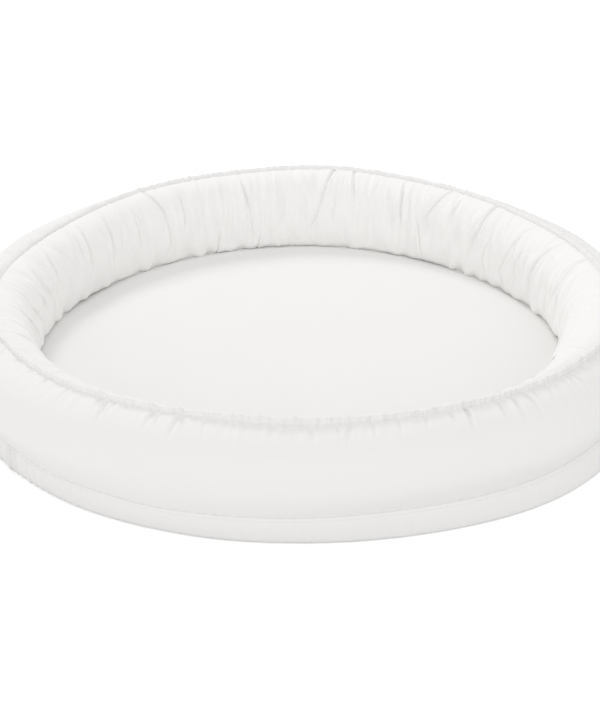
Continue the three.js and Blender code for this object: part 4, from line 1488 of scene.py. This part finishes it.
class LOUNGER_OT_casing(bpy.types.Operator):
    """Makes the gathered casing along the top of the bolster, and its elastic"""

    bl_idname = "lounger.casing"
    bl_label = "Top casing"

    def strip(self, share, half, base, low, high, puff, sway, crown):
        """Closed sections of a strip that stands on the walls' top and leans from there up. It
        is twice half wide, or twice base at its seam, and rises from low to high."""
        oval, size = the_oval(), sizes()
        rows = 9
        side = np.linspace(0, 1, rows)
        up = np.concatenate([side, np.full(3, 1.0), side[::-1]])
        across = np.concatenate([np.full(rows, -1.0), [-0.6, 0, 0.6], np.full(rows, 1.0)])
        tall = low + up * (high - low)
        tall[rows : rows + 3] += crown * np.array([0.7, 1.0, 0.7])
        body = np.sin(np.clip(up, 0.08, 1) * math.pi * 0.62) ** 0.7
        snug = 1 - smooth_step(tall, 0.2 * MM, 2.4 * MM)
        side_way = (half + puff[:, None] * body[None, :]) * (1 - snug) + base * snug
        thick = across[None, :] * side_way + sway[:, None] * (up * (1 - snug))[None, :]
        drawn = read_off(CASING_DRAWN, share)
        tall = tall[None, :] * (1 + 0.05 * np.clip(sway[:, None] / MM, -1.5, 1.5) * up[None, :])
        tall = np.where(tall > 0, tall * drawn[:, None], tall)
        for place, wide, out, rise in CASING_TUCKS:
            way = apart(share, place)[:, None] * oval.around / (wide * MM)
            bump = hill(way, 1) * (1 + np.tanh(-3 * way)) / 1.6
            dent = hill(way - 0.9, 0.5)
            thick = thick - (bump * out * MM) * np.clip(tall / high, 0, 1)
            tall = tall * (1 + np.where(tall > 0, rise * bump - 0.3 * dent, 0))
        lean = np.radians(read_off(CASING_LEAN, share))[:, None]
        above, below = np.maximum(tall, 0), np.minimum(tall, 0)
        tip = smooth_step(tall, 0, 1.5 * MM)
        inset = CASING_INSET + thick * (1 - tip + tip * np.cos(lean)) + above * np.sin(lean)
        seam = size.wall_top - TOP_SINK
        level = seam + below + above * np.cos(lean) - tip * thick * np.sin(lean)
        return settle(share, oval.place(share[:, None], inset, level))

    def execute(self, context):
        oval, columns = the_oval(), CASING_COLUMNS
        share = even_shares(columns)
        rng = np.random.default_rng(51)
        sway = ring_noise(rng, columns, 7 * MM, 24 * MM, oval.around) * 0.35 * MM
        sway += ring_noise(rng, columns, 24 * MM, 90 * MM, oval.around) * 0.35 * MM
        sink = 2 * MM
        high = sizes().casing_height - sink + 0.6 * MM
        gathered = read_off(CASING_DRAWN, share, 2)
        puff = (pleats(share) - 0.55) * gathered * 1.1 * MM
        half, base, crown = 1.5 * MM, 1.8 * MM, 0.6 * MM
        grid = self.strip(share, half, base, -sink, high, puff, sway, crown)
        runs = np.linspace(0, 22 * MM, grid.shape[1])
        cotton = finish_of("casing_cotton")
        piece = closed_ring("gathered_casing", grid, runs, cotton)
        # Painted shade in the casing's gathers: strongest between the pleats and where the casing
        # is most gathered, patchy round the ring
        patchy_shade = 0.7 + 0.3 * ring_noise(rng, columns, 14 * MM, 60 * MM, oval.around).clip(-1.5, 1)
        deep = (0.3 + 0.7 * (1 - pleats(share, even=True))) * gathered * patchy_shade
        mark_fold_shade(piece, np.repeat(deep[:, None], grid.shape[1], 1))
        keep(piece, ["top_casing"], "cover_cloth")
        run = oval.length_at(CASING_INSET)
        few = share[::4]
        none = np.zeros_like(few)
        half, low, high = 0.3 * MM, -0.8 * MM, high - 2.2 * MM
        inner = self.strip(few, half, half, low, high, none, sway[::4], crown=0.0)
        runs = np.linspace(0, 13 * MM, inner.shape[1])
        elastic = closed_ring("casing_elastic_band", inner, runs, finish_of("elastic_weave"))
        keep(elastic, ["casing_elastic"], "elastic")
        return {"FINISHED"}


# The zip: its gap at both ends of the rear opening, and half the opening's height. The teeth's
# pitch and how far they stay from the opening's two ends are in mm.
ZIP_SEAT = 0.4 * MM
ZIP_OPENING = 5 * MM
TAPE_WIDTH = 6.3 * MM
TEETH_PITCH = 3.0
TEETH_ROW_WIDTH = 2.6 * MM
TEETH_INSET = 1.9 * MM
TEETH_BEGIN, TEETH_END = 20.1, 9.2


class LOUNGER_OT_zip(bpy.types.Operator):
    """Makes the rear band's two strips, the zip's tapes and its teeth, and finishes its slider"""

    bl_idname = "lounger.zip"
    bl_label = "Zip"

    def execute(self, context):
        oval, size = the_oval(), sizes()
        seat = ZIP_SEAT / oval.rear[2]
        self.begin = oval.share_of_turn(REAR_OPENING[0] + seat)
        self.end = oval.share_of_turn(REAR_OPENING[1] - seat)
        self.run = oval.around * (self.end - self.begin)
        middle = size.band_height / 2
        self.strip("zip_strip_upper", middle + ZIP_OPENING, size.band_height, seed=61)
        self.strip("zip_strip_lower", BAND_FOOT[1], middle - ZIP_OPENING, seed=62)
        near = TEETH_ROW_WIDTH + 0.8 * MM
        self.tape("zip_tape_upper", middle + near, middle + near + TAPE_WIDTH)
        self.tape("zip_tape_lower", middle - near - TAPE_WIDTH, middle - near)
        self.teeth("zip_teeth_upper", middle, side=1)
        self.teeth("zip_teeth_lower", middle, side=-1)
        for name in ("zip_top_stop_upper", "zip_top_stop_lower", "zip_bottom_stop"):
            self.refinish(name, "zip_plastic")
        for name in ("zip_slider", "zip_pull"):
            self.refinish(name, "zip_enamel")
        return {"FINISHED"}

    def refinish(self, node, finish):
        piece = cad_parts[node]
        material = finish_of(finish)
        if not piece.material_slots:
            piece.data.materials.append(material)
        for slot in piece.material_slots:
            slot.link = "OBJECT"
            slot.material = material

    def band_path(self, low, high, count):
        """The part of the band's section between two heights."""
        whole, _ = band_curve(400)
        heights = np.linspace(low, high, count)
        return np.stack([np.interp(heights, whole[:, 1], whole[:, 0]), heights], 1)

    def strip(self, name, low, high, seed):
        oval, columns, rows = the_oval(), STRIP_COLUMNS, STRIP_ROWS
        share = np.linspace(self.begin, self.end, columns)
        path = self.band_path(low, high, rows)
        rng = np.random.default_rng(seed)
        wave = ring_noise(rng, columns, 9 * MM, 40 * MM, self.run) * 0.12 * MM
        arch = np.sin(np.linspace(0.3, math.pi - 0.3, rows))
        grid = columns_of(share, path)
        grid = grid - oval.inward(share)[:, None, :] * (wave[:, None] * arch)[..., None]
        whole = with_back(grid, share, path, 1.2 * MM)
        width = high - low
        piece = run_piece("rear_" + name, whole, self.run, width, finish_of("cover_cotton"))
        keep(piece, [name], "cover_cloth")

    def tape(self, name, low, high):
        share = np.linspace(self.begin, self.end, TAPE_COLUMNS)
        path = self.band_path(low, high, TAPE_ROWS)
        front = columns_of(share, pushed(path, 1.65 * MM))
        whole = with_back(front, share, path, 2.15 * MM)
        weave = finish_of("zip_tape_weave")
        piece = run_piece("woven_" + name, whole, self.run, high - low, weave)
        keep(piece, [name], "zip_tape")

    def one_tooth(self):
        """One moulded tooth, standing along z with its head at the top and its back to +y."""
        clear_selection()
        bpy.ops.mesh.primitive_cube_add(size=1)
        tooth = bpy.context.object
        bpy.ops.transform.resize(value=(1.25 * MM, 2.2 * MM, 1.9 * MM))
        bpy.ops.object.transform_apply(scale=True)
        mesh = tooth.data
        bpy.ops.object.mode_set(mode="EDIT")
        bpy.ops.mesh.select_mode(type="FACE")
        bpy.ops.mesh.select_all(action="DESELECT")
        bpy.ops.object.mode_set(mode="OBJECT")
        top = max(mesh.polygons, key=lambda face: face.center.z)
        top.select = True
        bpy.ops.object.mode_set(mode="EDIT")
        bpy.ops.mesh.inset(thickness=0.22 * MM)
        bpy.ops.mesh.extrude_region_move(TRANSFORM_OT_translate={"value": (0, 0, 0.7 * MM)})
        bpy.ops.transform.resize(value=(1.35, 1.0, 1.0))
        bpy.ops.mesh.extrude_region_move(TRANSFORM_OT_translate={"value": (0, 0, 0.6 * MM)})
        bpy.ops.transform.resize(value=(0.75, 0.85, 1.0))
        bpy.ops.mesh.select_all(action="SELECT")
        bpy.ops.mesh.bevel(offset=0.12 * MM, segments=1, affect="EDGES")
        bpy.ops.mesh.normals_make_consistent(inside=False)
        bpy.ops.object.mode_set(mode="OBJECT")
        points, faces = points_of(mesh), [list(face.vertices) for face in mesh.polygons]
        discard(tooth)
        return points, faces

    def teeth(self, name, middle, side):
        x, y, radius = the_oval().rear[:3]
        tooth, faces = self.one_tooth()
        places = np.arange(TEETH_BEGIN, self.run / MM - TEETH_END, TEETH_PITCH)
        places = places + (0 if side > 0 else TEETH_PITCH / 2)
        height = middle + side * (TEETH_ROW_WIDTH - (tooth[:, 2] - tooth[:, 2].min()))
        points, everything = [], []
        for run in places:
            turn = REAR_OPENING[0] + (run * MM + ZIP_SEAT) / radius
            out = np.array([math.cos(turn), math.sin(turn), 0])
            along = np.array([-math.sin(turn), math.cos(turn), 0])
            centre = np.array([x, y, 0]) + out * (radius - TEETH_INSET)
            placed = centre + np.outer(tooth[:, 0], along) + np.outer(-tooth[:, 1], out)
            placed[:, 2] = height
            begin = len(points) * len(tooth)
            points.append(placed)
            everything += [[begin + v for v in face] for face in faces]
        piece = mesh_piece("moulded_" + name, np.concatenate(points), everything)
        piece.data.shade_flat()
        covered(piece, finish_of("zip_plastic"))
        keep(piece, [name], "zip_plastic")


class LOUNGER_PT_panel(bpy.types.Panel):
    """Lists the lounger's makers"""

    bl_idname = "LOUNGER_PT_panel"
    bl_label = "Infant lounger"
    bl_space_type = "VIEW_3D"
    bl_region_type = "UI"
    bl_category = "Lounger"

    def draw(self, context):
        for maker in MAKERS:
            self.layout.operator(maker.bl_idname)
        for group in (context.scene.lounger_sizes, context.scene.lounger_colours):
            box = self.layout.box()
            for name in group.__annotations__:
                box.prop(group, name)


MAKERS = (
    LOUNGER_OT_stage,
    LOUNGER_OT_base_cushion,
    LOUNGER_OT_bolster_inside,
    LOUNGER_OT_outer_wall,
    LOUNGER_OT_inner_wall,
    LOUNGER_OT_casing,
    LOUNGER_OT_zip,
)
CLASSES = (LoungerSizes, LoungerColours, *MAKERS, LOUNGER_PT_panel)


def register():
    for cls in CLASSES:
        bpy.utils.register_class(cls)
    bpy.types.Scene.lounger_sizes = bpy.props.PointerProperty(type=LoungerSizes)
    bpy.types.Scene.lounger_colours = bpy.props.PointerProperty(type=LoungerColours)


def unregister():
    del bpy.types.Scene.lounger_colours
    del bpy.types.Scene.lounger_sizes
    for cls in reversed(CLASSES):
        bpy.utils.unregister_class(cls)


def main():
    register()
    bpy.ops.lounger.stage()
    bpy.ops.lounger.base_cushion()
    bpy.ops.lounger.bolster_inside()
    bpy.ops.lounger.outer_wall()
    bpy.ops.lounger.inner_wall()
    bpy.ops.lounger.casing()
    bpy.ops.lounger.zip()


if __name__ == "__main__":
    main()
